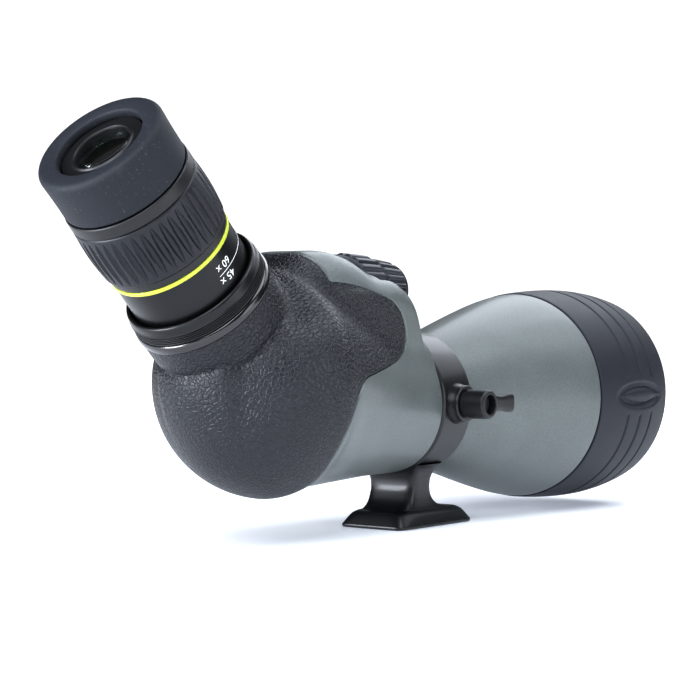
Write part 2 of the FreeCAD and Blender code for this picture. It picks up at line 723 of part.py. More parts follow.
def make_focus():
    shaft, fine = S.focus_shaft, S.fine_shaft
    turned("focus_bush", tube(S.trough_rear - 6.4, S.trough_rear, shaft + S.running, 7.0), FOCUS)
    stop = S.trough_rear - 31
    shoulder = S.trough_rear - 6.2
    turned("focus_screw", [
        (stop, ZERO), (S.coarse_rear + 2, ZERO), (S.coarse_rear + 2, fine + S.running),
        (S.coarse_front, fine + S.running), (S.coarse_front, shaft), (shoulder, shaft),
        (shoulder, S.screw_outer), (stop, S.screw_outer)], FOCUS)
    make_knob("coarse", S.coarse_rear, S.coarse_front, S.coarse_outer, Size(0.9), shaft)
    make_knob("fine", S.fine_rear, S.fine_front, S.fine_outer, Size(1.7), fine)
    keep(cylinder("fine_spindle", fine, S.fine_front - 1.2 - (S.coarse_rear + 2.2), FOCUS,
                  S.coarse_rear + 2.2),
         "fine_spindle")

    rear, front = S.carriage_rear, S.carriage_front
    ring = turned_body("carriage_ring", tube(rear, front, S.focus_glass, S.carriage_outer))
    ears = [box("carriage_ear_%s" % name, [(rear, front), (low, high), (-3.6, 3.6)])
            for name, low, high in (("left", 22.0, S.rod_spread + 2.8),
                                    ("right", -S.rod_spread - 2.8, -22.0))]
    arm = box("carriage_arm", [(rear, rear + 3.4), (-4.0, 4.0), (22.0, S.focus_rise - 4.0)])
    eye = cylinder("nut_eye", S.nut_outer + 1.1, Size(6), FOCUS, rear - 1.3)
    runs = [cylinder("rod_run_%s" % name, S.rod_radius + S.running, Size(30), OPTICS, rear - 10, spread)
            for name, spread in (("left", S.rod_spread), ("right", -S.rod_spread))]
    nut_seat = cylinder("nut_seat", S.nut_outer, Size(16), FOCUS, rear - 6)
    clear = cylinder("carriage_light", S.focus_glass, Size(20), OPTICS, rear - 6)
    keep(cut_away("focus_carriage", fuse("carriage_form", [ring, arm, eye] + ears),
                  runs + [nut_seat, clear]),
         "focus_carriage")
    turned("focus_nut", tube(rear - 1.3, rear + 4.7, S.screw_outer + S.running, S.nut_outer), FOCUS)
    lens("focus_lens", OPTICS, rear + 1.5, rear + 6.5, S.focus_glass, -90, 60)
    ring_rear = S.prism_ring_front - 2
    rods = [cylinder("guide_rod_%s" % name, S.rod_radius, -18 - ring_rear, OPTICS, ring_rear, spread)
            for name, spread in (("left", S.rod_spread), ("right", -S.rod_spread))]
    keep(fuse("guide_rods", rods), "guide_rods")
    for name, outline in (("rod_ring", tube(-20, -18, 25.2, 30.1)),
                          ("prism_ring", tube(ring_rear, S.prism_ring_front, 16.6, 33.4))):
        plate = turned_body(name + "_plate", outline)
        holes = [cylinder("%s_socket_%s" % (name, side), S.rod_radius, Size(60), OPTICS, Size(-70), spread)
                 for side, spread in (("left", S.rod_spread), ("right", -S.rod_spread))]
        keep(cut_away(name, plate, holes), name)


# ---------------------------------------------------------------- prism


def make_prism():
    body = new_body("prism_block")
    half = S.prism_half
    fold = S.fold_station
    slant = math.sqrt(0.5)
    exit_x, exit_z = fold - 20 * slant, Size(20 * slant)
    face = S.prism_ring_front - 2
    outline = polygon(new_sketch(body, "XZ_Plane", "prism_side"), [
        (face, -half), (face, half), (exit_x + slant * half, exit_z + slant * half),
        (exit_x - slant * half, exit_z - slant * half), (fold - 13, -half - 5)])
    pad = body.newObject("PartDesign::Pad", "prism_pad")
    pad.Profile = outline
    pad.Midplane = True
    pad.setExpression("Length", (half * 2).text)
    body.Tip = pad
    keep(body, "erecting_prism")

    cheeks = [box("prism_cheek_%s" % name, [(fold - 24, S.prism_ring_front - 2), (low, high), (-23, 25)])
              for name, low, high in (("left", half, half + 2), ("right", -half - 2, -half))]
    keep(fuse("prism_cheeks", cheeks), "prism_cheeks")
    screws = []
    for side, sign in (("left", 1), ("right", -1)):
        for index, (step, rise) in enumerate(((-18, -17), (12, -17), (-18, 19), (12, 19))):
            screws.append(cylinder("prism_screw_%s_%d" % (side, index), Size(1.8), Size(1.6), OPTICS,
                                   fold + step,
                                   sign * (half + 2), Size(rise), FreeCAD.Rotation(V(1, 0, 0), -90 * sign)))
    keep(fuse("prism_screws", screws), "prism_screws")

    # a sprung strap over the sloping face between the entrance and the exit
    start, stop = (face, half), (exit_x + slant * half, exit_z + slant * half)
    run = (stop[0] - start[0], stop[1] - start[1])
    reach = math.hypot(run[0].value, run[1].value)
    lift = (-run[1].value / reach * -1, -run[0].value / reach)
    spots = [(start[0] + run[0] * part + lift[0] * height, start[1] + run[1] * part + lift[1] * height)
             for part, height in ((0.25, 0), (0.75, 0), (0.75, 1), (0.25, 1))]
    strap = new_body("strap_block")
    side = polygon(new_sketch(strap, "XZ_Plane", "strap_side"), spots)
    leaf = strap.newObject("PartDesign::Pad", "strap_leaf")
    leaf.Profile = side
    leaf.Midplane = True
    leaf.setExpression("Length", (half * 2).text)
    strap.Tip = leaf
    keep(strap, "prism_strap")


# ---------------------------------------------------------------- eyepiece


def make_socket():
    turned("eyepiece_flange", [
        (S.neck_end - 14, S.core_outer), (S.spigot_top, S.core_outer), (S.spigot_top, S.spigot_outer),
        (S.flange_top, S.spigot_outer), (S.flange_top, S.flange_outer - 0.8),
        (S.flange_top - 1, S.flange_outer - 0.3),
        (S.neck_end + 1, S.flange_outer), (S.neck_end, S.flange_outer - 0.4), (S.neck_end, S.neck_bore),
        (S.neck_end - 14, S.neck_bore)], EYEPIECE)
    bottom = S.flange_top + 0.1
    inner = S.spigot_outer + S.running
    outline = [(bottom, inner), (S.spigot_top + 0.3, inner), (S.lock_top - 1.0, S.lock_lip - 0.3),
               (S.lock_top, S.lock_lip), (S.lock_top, S.lock_lip + 0.6),
               (S.lock_top - 0.8, S.lock_lip + 1.4)]
    ridge = (S.lock_top - 1.6 - (bottom + 1.4)) / 8
    for number in range(8):
        low = S.lock_top - 1.6 - number * ridge
        outline += [(low, S.lock_outer - 0.55), (low - ridge / 2, S.lock_outer - 0.9)]
    outline += [(bottom + 1.4, S.lock_outer - 0.2), (bottom, S.lock_outer)]
    turned("lock_ring", outline, EYEPIECE)


def make_zoom():
    inner = S.core_outer + S.running
    turned("eyepiece_core", [
        (S.core_bottom, S.core_bore), (S.core_top, S.core_bore), (S.core_top, S.core_outer),
        (S.core_bottom, S.core_outer)], EYEPIECE)
    turned("scale_barrel", tube(S.scale_bottom, S.scale_top, inner, S.scale_outer), EYEPIECE)
    turned("lime_ring", [(S.scale_top, inner), (S.lime_top, inner), (S.lime_top, S.lime_outer - 0.3),
                         (S.lime_top - 0.4, S.lime_outer), (S.scale_top + 0.4, S.lime_outer),
                         (S.scale_top, S.lime_outer - 0.3)], EYEPIECE)
    turned("zoom_sleeve", [
        (S.lime_top, inner), (S.band_top, inner), (S.band_top, S.band_outer - 0.6),
        (S.band_top - 0.6, S.band_outer),
        (S.grip_top, S.band_outer), (S.grip_top, S.scale_outer - 1), (S.grip_bottom, S.scale_outer - 1),
        (S.grip_bottom, S.lime_outer + 0.3), (S.lime_top, S.lime_outer)], EYEPIECE)
    grip = turned_body("zoom_grip", [
        (S.grip_bottom, S.scale_outer - 1), (S.grip_top, S.scale_outer - 1),
        (S.grip_top, S.grip_outer - 0.6),
        (S.grip_top - 1.4, S.grip_outer), (S.grip_bottom + 1.4, S.grip_outer - 0.4),
        (S.grip_bottom, S.grip_outer - 1)], EYEPIECE)
    cut_round(grip, "grip_flutes", S.grip_bottom + 3, S.grip_top - S.grip_bottom - 6,
              (ZERO, S.grip_outer + 0.8), Size(1.8), S.grip_grooves)
    keep(grip, "zoom_grip")
    for name, rear, front, glass, curve in (("field", 60.0, 68.0, 15.0, 40),
                                            ("zoom", 92.0, 101.0, 13.0, 34)):
        turned(name + "_cell", [
            (rear, glass), (front, glass), (front, S.core_bore - S.running),
            (rear, S.core_bore - S.running)], EYEPIECE)
        lens(name + "_lens", EYEPIECE, rear + 1.5, front - 1.5, glass, curve, curve)
    turned("field_stop", tube(80.0, 81.5, 11.0, S.core_bore), EYEPIECE)


def make_eye_end():
    turned("eye_cell", [
        (128.0, 14.0), (S.eye_face - 7, 14.0), (S.eye_face - 7, S.eye_glass),
        (S.eye_face - 0.3, S.eye_glass),
        (S.eye_face, S.eye_glass + 0.4), (S.eye_face, S.eye_glass + 1.0),
        (S.eye_face - 0.8, S.eye_glass + 1.6),
        (S.eye_face - 0.8, 18.4), (S.core_top, 18.4), (S.core_top, S.core_bore), (128.0, S.core_bore)],
        EYEPIECE)
    lens("eye_lens", EYEPIECE, S.eye_face - 6.6, S.eye_face - 1.0, S.eye_glass, 0, 38)
    lens("inner_eye_lens", EYEPIECE, 131.0, 139.0, 14.0, 30, 30)
    inner = S.core_outer + S.running
    turned("eyecup_cam_ring", tube(S.cup_bottom + 0.6, S.cup_bottom + 4.6, inner, 23.6), EYEPIECE)
    guide = 23.6 + S.running
    turned("eyecup_sleeve", [
        (S.cup_bottom + 0.4, guide), (S.cup_top - 5.4, guide), (S.cup_top - 5.4, S.cup_hole + 0.3),
        (S.cup_top - 3.6, S.cup_hole + 0.3), (S.cup_top - 3.6, 25.4), (S.cup_bottom + 0.4, 25.4)], EYEPIECE)
    turned("eyecup_rubber", [
        (S.cup_bottom, 25.4), (S.cup_top - 3.6, 25.4), (S.cup_top - 3.6, S.cup_hole),
        (S.cup_top - 1.0, S.cup_hole), (S.cup_top, S.cup_hole + 1.2), (S.cup_top, S.cup_outer - 2.6),
        (S.cup_top - 1.2, S.cup_outer - 0.8), (S.cup_top - 3.2, S.cup_outer),
        (S.cup_bottom + 0.6, S.cup_outer),
        (S.cup_bottom, S.cup_outer - 0.6)], EYEPIECE)


# ---------------------------------------------------------------- build and write

make_collar()
make_clamp()
make_housing()
make_barrel()
make_shade()
make_focus()
make_prism()
make_socket()
make_zoom()
make_eye_end()
doc.recompute()

faults = [item.Label for item in doc.Objects if "Invalid" in item.State or "Error" in item.State]
for piece in pieces:
    shape = piece.Shape
    if shape.isNull() or not shape.isValid() or not shape.Solids or shape.Volume <= 0:
        faults.append(piece.Label + " shape")
if faults:
    raise SystemExit("faulty objects: " + ", ".join(faults))

os.makedirs("parts", exist_ok=True)
for piece in pieces:
    piece.Shape.exportStep("parts/%s.step" % piece.Label)
    print("%-22s solids %d volume %10.1f" % (piece.Label, len(piece.Shape.Solids), piece.Shape.Volume))
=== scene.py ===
"""Angled spotting scope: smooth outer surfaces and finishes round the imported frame.

Lengths are worked out in millimetres and turned into metres as each mesh is written.
"""

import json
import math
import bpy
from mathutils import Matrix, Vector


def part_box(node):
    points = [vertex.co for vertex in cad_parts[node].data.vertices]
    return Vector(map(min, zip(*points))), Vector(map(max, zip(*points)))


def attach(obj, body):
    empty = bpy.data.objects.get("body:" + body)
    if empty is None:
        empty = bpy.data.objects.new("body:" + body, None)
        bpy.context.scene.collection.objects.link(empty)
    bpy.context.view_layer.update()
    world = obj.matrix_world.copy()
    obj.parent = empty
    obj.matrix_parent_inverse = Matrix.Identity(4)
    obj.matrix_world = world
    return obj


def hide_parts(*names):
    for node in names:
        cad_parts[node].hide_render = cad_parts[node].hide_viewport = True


bl_info = {
    "name": "Spotting scope surfaces",
    "version": (1, 0, 0),
    "blender": (4, 5, 0),
    "location": "View3D > Sidebar > Scope",
    "description": "Builds the outer surfaces and finishes of an angled spotting scope",
    "category": "Add Mesh",
}

import bmesh
import bpy
import numpy as np
from bpy.props import FloatProperty, FloatVectorProperty, IntProperty, PointerProperty
from mathutils import Vector

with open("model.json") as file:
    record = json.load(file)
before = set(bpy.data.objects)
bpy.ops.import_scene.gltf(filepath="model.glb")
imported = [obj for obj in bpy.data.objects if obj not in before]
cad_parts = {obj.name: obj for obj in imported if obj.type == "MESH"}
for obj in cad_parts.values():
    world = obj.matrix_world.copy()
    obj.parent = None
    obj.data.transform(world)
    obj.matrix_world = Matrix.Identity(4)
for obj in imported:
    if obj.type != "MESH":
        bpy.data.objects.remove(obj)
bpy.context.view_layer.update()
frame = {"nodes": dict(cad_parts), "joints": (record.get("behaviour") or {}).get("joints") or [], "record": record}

MM = 0.001
TURN = 2 * math.pi
JOINTS = {joint["name"]: joint for joint in frame["joints"]}


# ---------------------------------------------------------------- where things are


class Axis:
    """A line with a sideways direction; up is the cross product of along and side."""

    def __init__(self, origin, along, side):
        self.origin = np.array(origin, float)
        self.along = np.array(along, float)
        self.side = np.array(side, float)
        self.up = np.cross(self.along, self.side)

    def place(self, station, across, rise):
        """origin + station * along + across * side + rise * up, for whole arrays."""
        station, across, rise = np.broadcast_arrays(station, across, rise)
        return (self.origin + station[..., None] * self.along + across[..., None] * self.side
                + rise[..., None] * self.up)

    def polar(self, station, radius, angle):
        """A point at a radius and an angle from side towards up."""
        return self.place(station, radius * np.cos(angle), radius * np.sin(angle))


def joint_place(name):
    return np.array(JOINTS[name]["pos_m"], float) / MM


def node_low(name):
    return np.array(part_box(name)[0], float) / MM


def node_high(name):
    return np.array(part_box(name)[1], float) / MM


JOURNAL_LEAD = 18.0        # the journal tube starts this far behind the collar
ZOOM_STATION = 100.0       # the zoom joint's place on the eyepiece axis
COLLAR_REAR = node_low("journal_tube")[0] + JOURNAL_LEAD
AXIS_HEIGHT = joint_place("collar_turn")[2]
EYE_ALONG = np.array(JOINTS["zoom_turn"]["axis"], float)
OPTICS = Axis((COLLAR_REAR, 0, AXIS_HEIGHT), (1, 0, 0), (0, 1, 0))
EYE = Axis(joint_place("zoom_turn") - ZOOM_STATION * EYE_ALONG, EYE_ALONG, (0, -1, 0))
FOCUS = Axis((COLLAR_REAR, 0, joint_place("coarse_focus_turn")[2]), (1, 0, 0), (0, 1, 0))
CLAMP = Axis(joint_place("clamp_turn"), (0, -1, 0), (1, 0, 0))
FOOT = Axis((0, 0, 0), (0, 0, 1), (1, 0, 0))
FOLD = EYE.origin - OPTICS.origin
FOCUS_RISE = FOCUS.origin[2] - AXIS_HEIGHT


# ---------------------------------------------------------------- curves and meshes


def ease(value, low, high):
    """Nought below low, one above high, and 3u^2 - 2u^3 between them."""
    part = np.clip((value - low) / (high - low), 0, 1)
    return part * part * (3 - 2 * part)


def through(stations, values, spots):
    """Cubic pieces through the values, each with the slopes that its neighbours give."""
    stations, values = np.array(stations, float), np.array(values, float)
    slopes = np.gradient(values, stations)
    spots = np.clip(spots, stations[0], stations[-1])
    piece = np.clip(np.searchsorted(stations, spots) - 1, 0, len(stations) - 2)
    gap = stations[piece + 1] - stations[piece]
    part = (spots - stations[piece]) / gap
    return (values[piece] * (1 + 2 * part) * (1 - part) ** 2 + slopes[piece] * gap * part * (1 - part) ** 2
            + values[piece + 1] * part * part * (3 - 2 * part)
            + slopes[piece + 1] * gap * part * part * (part - 1))


def rounded(corners, steps=6, closed=True):
    """An outline whose corners (place, radius, reach) become circular arcs.

    Each arc is a rational quadratic curve that starts and ends its reach away from the
    corner and has the cosine of half the turn as its middle weight."""
    corners = np.array(corners, float)
    spot, reach = corners[:, :2], corners[:, 2:3]
    before, after = np.roll(spot, 1, axis=0) - spot, np.roll(spot, -1, axis=0) - spot
    before /= np.maximum(np.linalg.norm(before, axis=1, keepdims=True), 1e-9)
    after /= np.maximum(np.linalg.norm(after, axis=1, keepdims=True), 1e-9)
    weight = np.sqrt(np.clip((1 - (before * after).sum(1)) / 2, 1e-6, 1))[:, None, None]
    part = np.linspace(0, 1, steps + 1)[None, :, None]
    shares = (1 - part) ** 2, 2 * part * (1 - part) * weight, part ** 2
    ends = (spot + before * reach)[:, None], spot[:, None], (spot + after * reach)[:, None]
    arcs = sum(share * end for share, end in zip(shares, ends)) / sum(shares)
    if not closed:
        arcs[0], arcs[-1] = spot[0], spot[-1]
    outline = arcs.reshape(-1, 2)
    step = np.linalg.norm(outline - np.roll(outline, 1, axis=0), axis=1)
    step[0] = 1 if not closed else step[0]
    return outline[step > 1e-4]


def refined(outline, gap, closed=True):
    """The outline with its long segments cut into equal steps no longer than the gap."""
    start = outline if closed else outline[:-1]
    stop = np.roll(outline, -1, axis=0) if closed else outline[1:]
    count = np.maximum(np.ceil(np.linalg.norm(stop - start, axis=1) / gap), 1).astype(int)
    which = np.repeat(np.arange(len(start)), count)
    first = np.repeat(np.cumsum(count) - count, count)
    part = ((np.arange(count.sum()) - first) / count[which])[:, None]
    cut = start[which] * (1 - part) + stop[which] * part
    return cut if closed else np.vstack([cut, outline[-1:]])


def grid_faces(rows, columns, wrap_rows=False, wrap_columns=True):
    """Four-cornered faces of a grid of points stored row by row."""
    down = np.arange(rows if wrap_rows else rows - 1)[:, None]
    over = np.arange(columns if wrap_columns else columns - 1)[None, :]
    next_down, next_over = (down + 1) % rows, (over + 1) % columns
    corners = [down * columns + over, down * columns + next_over,
               next_down * columns + next_over, next_down * columns + over]
    return np.stack([np.broadcast_to(c, (down.size, over.size)) for c in corners], -1).reshape(-1, 4)


def solid(name, parts, body, finish, replaces=(), sharp=32):
    """Writes closed grids of points as one object that rides on a body.

    parts are pairs of points in millimetres and faces. Doubles are merged, so poles and
    seams close, and a part whose signed volume is negative is turned inside out."""
    sheets = []
    offset = 0
    for points, faces in parts:
        points = points.reshape(-1, 3)
        a, b, c, d = (points[faces[:, k]] - points.mean(0) for k in range(4))
        volume = (np.einsum("ij,ij->i", a, np.cross(b, c)) + np.einsum("ij,ij->i", a, np.cross(c, d))).sum()
        sheets.append((points * MM, (faces if volume > 0 else faces[:, ::-1]) + offset))
        offset += len(points)
    points = np.concatenate([sheet[0] for sheet in sheets])
    faces = np.concatenate([sheet[1] for sheet in sheets])
    mesh = bpy.data.meshes.new(name)
    mesh.vertices.add(len(points))
    mesh.vertices.foreach_set("co", points.astype(np.float32).ravel())
    mesh.loops.add(faces.size)
    mesh.loops.foreach_set("vertex_index", faces.astype(np.int32).ravel())
    mesh.polygons.add(len(faces))
    mesh.polygons.foreach_set("loop_start", np.arange(0, faces.size, 4, dtype=np.int32))
    mesh.update(calc_edges=True)
    work = bmesh.new()
    work.from_mesh(mesh)
    bmesh.ops.remove_doubles(work, verts=work.verts, dist=4e-6)
    bmesh.ops.dissolve_degenerate(work, edges=work.edges, dist=2e-6)
    work.to_mesh(mesh)
    work.free()
    mesh.shade_smooth()
    mesh.set_sharp_from_angle(angle=math.radians(sharp))
    piece = bpy.data.objects.new(name, mesh)
    bpy.context.scene.collection.objects.link(piece)
    mesh.materials.append(finish)
    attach(piece, body)
    if replaces:
        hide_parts(*replaces)
    return piece


def lathe(axis, outline, turns=144, wave=None, closed=True):
    """An outline turned about an axis: station and radius follow the outline, and the
    angle goes once round. wave(station, radius, angle) gives the radius where it varies."""
    station, radius = outline[:, :1], outline[:, 1:]
    angle = np.arange(turns)[None, :] * TURN / turns
    reach = radius + 0 * angle if wave is None else wave(station, radius, angle)
    return axis.polar(station, reach, angle), grid_faces(len(outline), turns, wrap_rows=closed)


def tube(low, high, inner, outer, edge=0.4):
    """The outline of a plain tube with rounded edges."""
    return rounded([(low, inner, edge / 2), (low, outer, edge), (high, outer, edge), (high, inner, edge / 2)])


def soft_least(first, second, width):
    """The smaller of two levels, blended where they differ by less than the width."""
    part = np.clip(0.5 + 0.5 * (second - first) / width, 0, 1)
    return second * (1 - part) + first * part - width * part * (1 - part)


# ---------------------------------------------------------------- prism housing form

BALL = (-86.7, 11.9, 51.0)                     # station, rise, radius
BARREL = np.array([(-84.0, 11.4, 46.2), (-66.0, 8.3, 43.2), (-46.0, 4.7, 38.8), (-24.0, 1.5, 34.7),
                   (-0.7, 0.0, 33.0)])         # station, rise of the centre, radius
FLANK = np.array([(-112.0, 62.0), (-96.0, 53.0), (-88.0, 49.4), (-81.0, 46.5), (-74.0, 44.0),
                  (-66.0, 41.6), (-40.0, 35.0)])    # the ball's front flank: station, greatest radius
SHOULDER = (24.0, 42.5, 17.0, 27.0)            # along the eyepiece, radius; it fades between these sides
HUMP = np.array([(-112.0, 14.0, 30.0, 12.0), (-98.0, 19.0, 53.0, 13.0), (-87.0, 22.5, 65.5, 15.0),
                 (-72.0, 26.5, 69.6, 17.0), (-57.0, 29.0, 67.2, 16.0), (-45.0, 30.0, 60.8, 13.0),
                 (-24.0, 29.6, 56.6, 12.0), (-15.0, 29.0, 50.4, 12.0), (-7.0, 28.0, 34.0, 12.0),
                 (-0.7, 27.0, 31.0, 12.0)])    # station, half width, top, corner radius
NECK = (30.0, 30.2, 66.2, 31.0)                # along the eyepiece: foot, its radius, end, its radius
TROUGH = (-37.6, 18.6, 16.5, 1.9)              # rear wall, radius, half width of the round part, slope
# the rubber's front edge: angle from the top in degrees, station
EDGE = np.array([(0, -81), (8, -80.9), (15, -80.5), (22, -78.2), (28, -76), (32.6, -73), (34.5, -66),
                 (35.7, -55), (36.9, -44.5), (39.5, -34), (44, -27.6), (51.4, -24.8), (60, -25.9), (69, -33),
                 (76, -46), (81.5, -64), (87, -79.5), (96, -86.5), (107, -90.5), (120, -92.5), (135, -91.5),
                 (150, -88.5), (165, -85.5), (180, -84)])
EDGE_SCALE = 0.7                               # millimetres of edge that a degree counts as
EDGE_RISE = 10.0                               # its angles are counted from this far above the optical axis
DENTS = ((-106.0, 31.0, 44.0), 13.0, 3.5)      # hollows beside the neck: middle, reach, depth
SHOULDER_SINK = (6.0, 8.0)                     # how far it drops away at its sides and in front
SEAM_REAR = (0.7, 0.9)                         # groove along the neck's rear seam: depth, half width
SEAM_FRONT = (1.5, 5.0)                        # groove along its front seam: depth, half width
TROUGH_SLOPES = (1.2, 2.1)                     # divide its depth: in the round part, beside it


def housing_level(spot):
    """How far a point lies outside the housing, negative inside.

    A ball, a tapering barrel, a hump with rounded upper corners, a shoulder and a conical
    neck, joined with soft minima. Bell-shaped terms add two hollows beside the neck and a
    groove along its seam; the knob trough is taken away with a soft maximum."""
    x, y, z = spot[..., 0], spot[..., 1], spot[..., 2]
    ball = np.sqrt((x - BALL[0]) ** 2 + y * y + (z - BALL[1]) ** 2) - BALL[2]
    rise = through(BARREL[:, 0], BARREL[:, 1], x)
    around = np.hypot(y, z - rise)
    ball = -soft_least(-ball, through(FLANK[:, 0], FLANK[:, 1], x) - around, 2.5)
    barrel = around - through(BARREL[:, 0], BARREL[:, 2], x)
    barrel = np.maximum(barrel, BARREL[0, 0] - x)
    half, top, corner = (through(HUMP[:, 0], HUMP[:, k], x) for k in (1, 2, 3))
    across, above = np.abs(y) - half + corner, z - top + corner
    hump = np.hypot(np.maximum(across, 0), np.maximum(above, 0)) + np.minimum(np.maximum(across, above), 0)
    hump = np.maximum.reduce([hump - corner, -5 - z, HUMP[0, 0] - x])
    offset = spot - FOLD
    along = offset @ EYE.along
    radial = np.linalg.norm(offset - along[..., None] * EYE.along, axis=-1)
    swell = NECK[1] + (along - NECK[0]) * (NECK[3] - NECK[1]) / (NECK[2] - NECK[0])
    neck = np.maximum.reduce([radial - swell, NECK[0] - along, along - NECK[2]])
    front = offset @ EYE.up
    body = soft_least(soft_least(ball, barrel, 3.0), hump, 5.0)
    shoulder = np.sqrt((along - SHOULDER[0]) ** 2 + radial ** 2) - SHOULDER[1]
    beside, ahead = SHOULDER_SINK
    shoulder = shoulder + beside * ease(np.abs(y), *SHOULDER[2:]) + ahead * ease(front, -6, 10)
    body = soft_least(body, shoulder, 4.0)
    middle, reach, depth = DENTS
    away = (x - middle[0]) ** 2 + (np.abs(y) - middle[1]) ** 2 + (z - middle[2]) ** 2
    body = body + depth * np.exp(-away / reach ** 2)
    form = soft_least(body, neck, 0.6 + 3.4 * ease(front, -8, 20))
    form = form + SEAM_REAR[0] * np.exp(-((body - neck) / SEAM_REAR[1]) ** 2) * (1 - ease(front, 2, 14))
    form = form + SEAM_FRONT[0] * np.exp(-((body - neck) / SEAM_FRONT[1]) ** 2) * ease(front, 4, 18)
    wide = np.abs(y)
    bowl = FOCUS_RISE - np.sqrt(np.maximum(TROUGH[1] ** 2 - np.minimum(wide, TROUGH[2]) ** 2, 0))
    floor = bowl + np.maximum(wide - TROUGH[2], 0) * TROUGH[3]
    trough = np.maximum(TROUGH[0] - x, (floor - z) / np.where(wide > TROUGH[2], *TROUGH_SLOPES[::-1]))
    return -soft_least(-form, trough, 2.4)


def outermost(start, heading, inset, near=6.0, far=112.0, samples=72, halvings=20):
    """The outermost point of each ray whose level is minus the inset, found by halving."""
    reach = np.linspace(far, near, samples)
    inside = np.stack([housing_level(start + heading * step) + inset < 0 for step in reach])
    first = inside.argmax(0)
    inner, outer = reach[first], reach[np.maximum(first - 1, 0)]
    for _ in range(halvings):
        middle = (inner + outer) / 2
        hit = housing_level(start + heading * middle[..., None]) + inset < 0
        inner, outer = np.where(hit, middle, inner), np.where(hit, outer, middle)
    return start + heading * inner[..., None]


def radial_heading(angle):
    """Outwards in a plane across the optical axis, counted from the top."""
    return np.stack([0 * angle, np.sin(angle), np.cos(angle)], -1)


def edge_path(columns):
    """Angle and station of the rubber's front edge at equal steps round the housing.

    Cubic pieces through the edge's knots, counted by the length along them; the left side
    mirrors the right."""
    knots = EDGE * (EDGE_SCALE, 1.0)
    length = np.concatenate([[0], np.cumsum(np.hypot(*np.diff(knots, axis=0).T))])
    whole = np.arange(columns) / columns * 2
    part = np.where(whole <= 1, whole, 2 - whole) * length[-1]
    side = np.where(whole <= 1, 1.0, -1.0)
    angle, station = (through(length, EDGE[:, k], part) for k in (0, 1))
    return np.radians(angle), station, side, part / length[-1]


def edge_curve(columns):
    """Points of the front edge, the side of each, and its share of the way to the bottom."""
    angle, station, side, share = edge_path(columns)
    start = np.stack([station, 0 * angle, 0 * angle + EDGE_RISE], -1)
    return outermost(start, radial_heading(angle * side), 0.0), side, share


def fit_place(spot):
    """From stations, sides and rises about the optical axis to the shared frame."""
    return OPTICS.origin + spot


# ---------------------------------------------------------------- finishes


class Value:
    """A shader number that takes part in arithmetic: each sign adds a Math node."""

    def __init__(self, finish, socket):
        self.finish = finish
        self.socket = socket

    def math(self, operation, first, second):
        node = self.finish.node("ShaderNodeMath", {"operation": operation}, {0: first, 1: second})
        return Value(self.finish, node.outputs[0])

    def __add__(self, other):
        return self.math("ADD", self, other)

    __radd__ = __add__

    def __sub__(self, other):
        return self.math("SUBTRACT", self, other)

    def __rsub__(self, other):
        return self.math("SUBTRACT", other, self)

    def __mul__(self, other):
        return self.math("MULTIPLY", self, other)

    __rmul__ = __mul__


class Finish:
    """A material whose nodes are put together by one method."""

    def __init__(self, name, **constants):
        self.material = bpy.data.materials.new(name)
        self.material.use_nodes = True
        self.tree = self.material.node_tree
        self.tree.nodes.clear()
        self.output = self.node("ShaderNodeOutputMaterial", {}, {})
        self.shader = self.node("ShaderNodeBsdfPrincipled", {}, constants)
        self.tree.links.new(self.shader.outputs[0], self.output.inputs[0])
        self.spot = self.node("ShaderNodeTexCoord", {}, {}).outputs["Object"]

    def feed(self, socket, value):
        if isinstance(value, Value):
            value = value.socket
        if isinstance(value, bpy.types.NodeSocket):
            self.tree.links.new(value, socket)
        elif isinstance(value, tuple) and len(value) == 3 and socket.type == "RGBA":
            socket.default_value = (*value, 1.0)
        else:
            socket.default_value = value

    def node(self, kind, settings, sockets):
        """Adds a node: its type, then its settings, then its sockets' values or links."""
        node = self.tree.nodes.new(kind)
        for key, value in settings.items():
            if key == "stops":
                ramp = node.color_ramp
                for index, (place, colour) in enumerate(value):
                    stop = ramp.elements[index] if index < 2 else ramp.elements.new(place)
                    stop.position = place
                    stop.color = (*colour, 1.0)
            else:
                setattr(node, key, value)
        for key, value in sockets.items():
            self.feed(node.inputs[key.replace("_", " ") if isinstance(key, str) else key], value)
        return node

    def noise(self, size, detail=3.0, rough=0.55):
        """Cloudy noise, nought to one, whose lumps are about a size in millimetres."""
        sockets = {"Vector": self.spot, "Scale": 1 / (size * MM), "Detail": detail, "Roughness": rough}
        return Value(self, self.node("ShaderNodeTexNoise", {}, sockets).outputs[0])

    def cells(self, size, feature="F1", spot=None):
        """A distance in a pattern of grains whose size is in millimetres: to the middle of
        the nearest grain, or to its edge."""
        sockets = {"Vector": spot or self.spot, "Scale": 1 / (size * MM)}
        grains = self.node("ShaderNodeTexVoronoi", {"feature": feature}, sockets)
        return Value(self, grains.outputs["Distance"])

    def ramp(self, value, *stops):
        """A number turned into a colour by stops of place and colour."""
        return self.node("ShaderNodeValToRGB", {"stops": stops}, {"Fac": value}).outputs[0]

    def above(self, value, low, high):
        """Rises smoothly from nought to one between two numbers."""
        settings = {"interpolation_type": "SMOOTHSTEP"}
        sockets = {"Value": value, "From_Min": low, "From_Max": high}
        return Value(self, self.node("ShaderNodeMapRange", settings, sockets).outputs[0])

    def mix(self, share, first, second):
        """Two colours mixed by a share."""
        sockets = {0: share, 6: first, 7: second}
        return self.node("ShaderNodeMix", {"data_type": "RGBA"}, sockets).outputs[2]

    def bump(self, height, depth, strength=1.0):
        """A relief of the height pattern with a depth in millimetres."""
        sockets = {"Height": height, "Distance": depth * MM, "Strength": strength}
        self.feed(self.shader.inputs["Normal"], self.node("ShaderNodeBump", {}, sockets).outputs[0])

    def colour(self, value):
        self.feed(self.shader.inputs["Base Color"], value)

    def gloss(self, value):
        self.feed(self.shader.inputs["Roughness"], value)


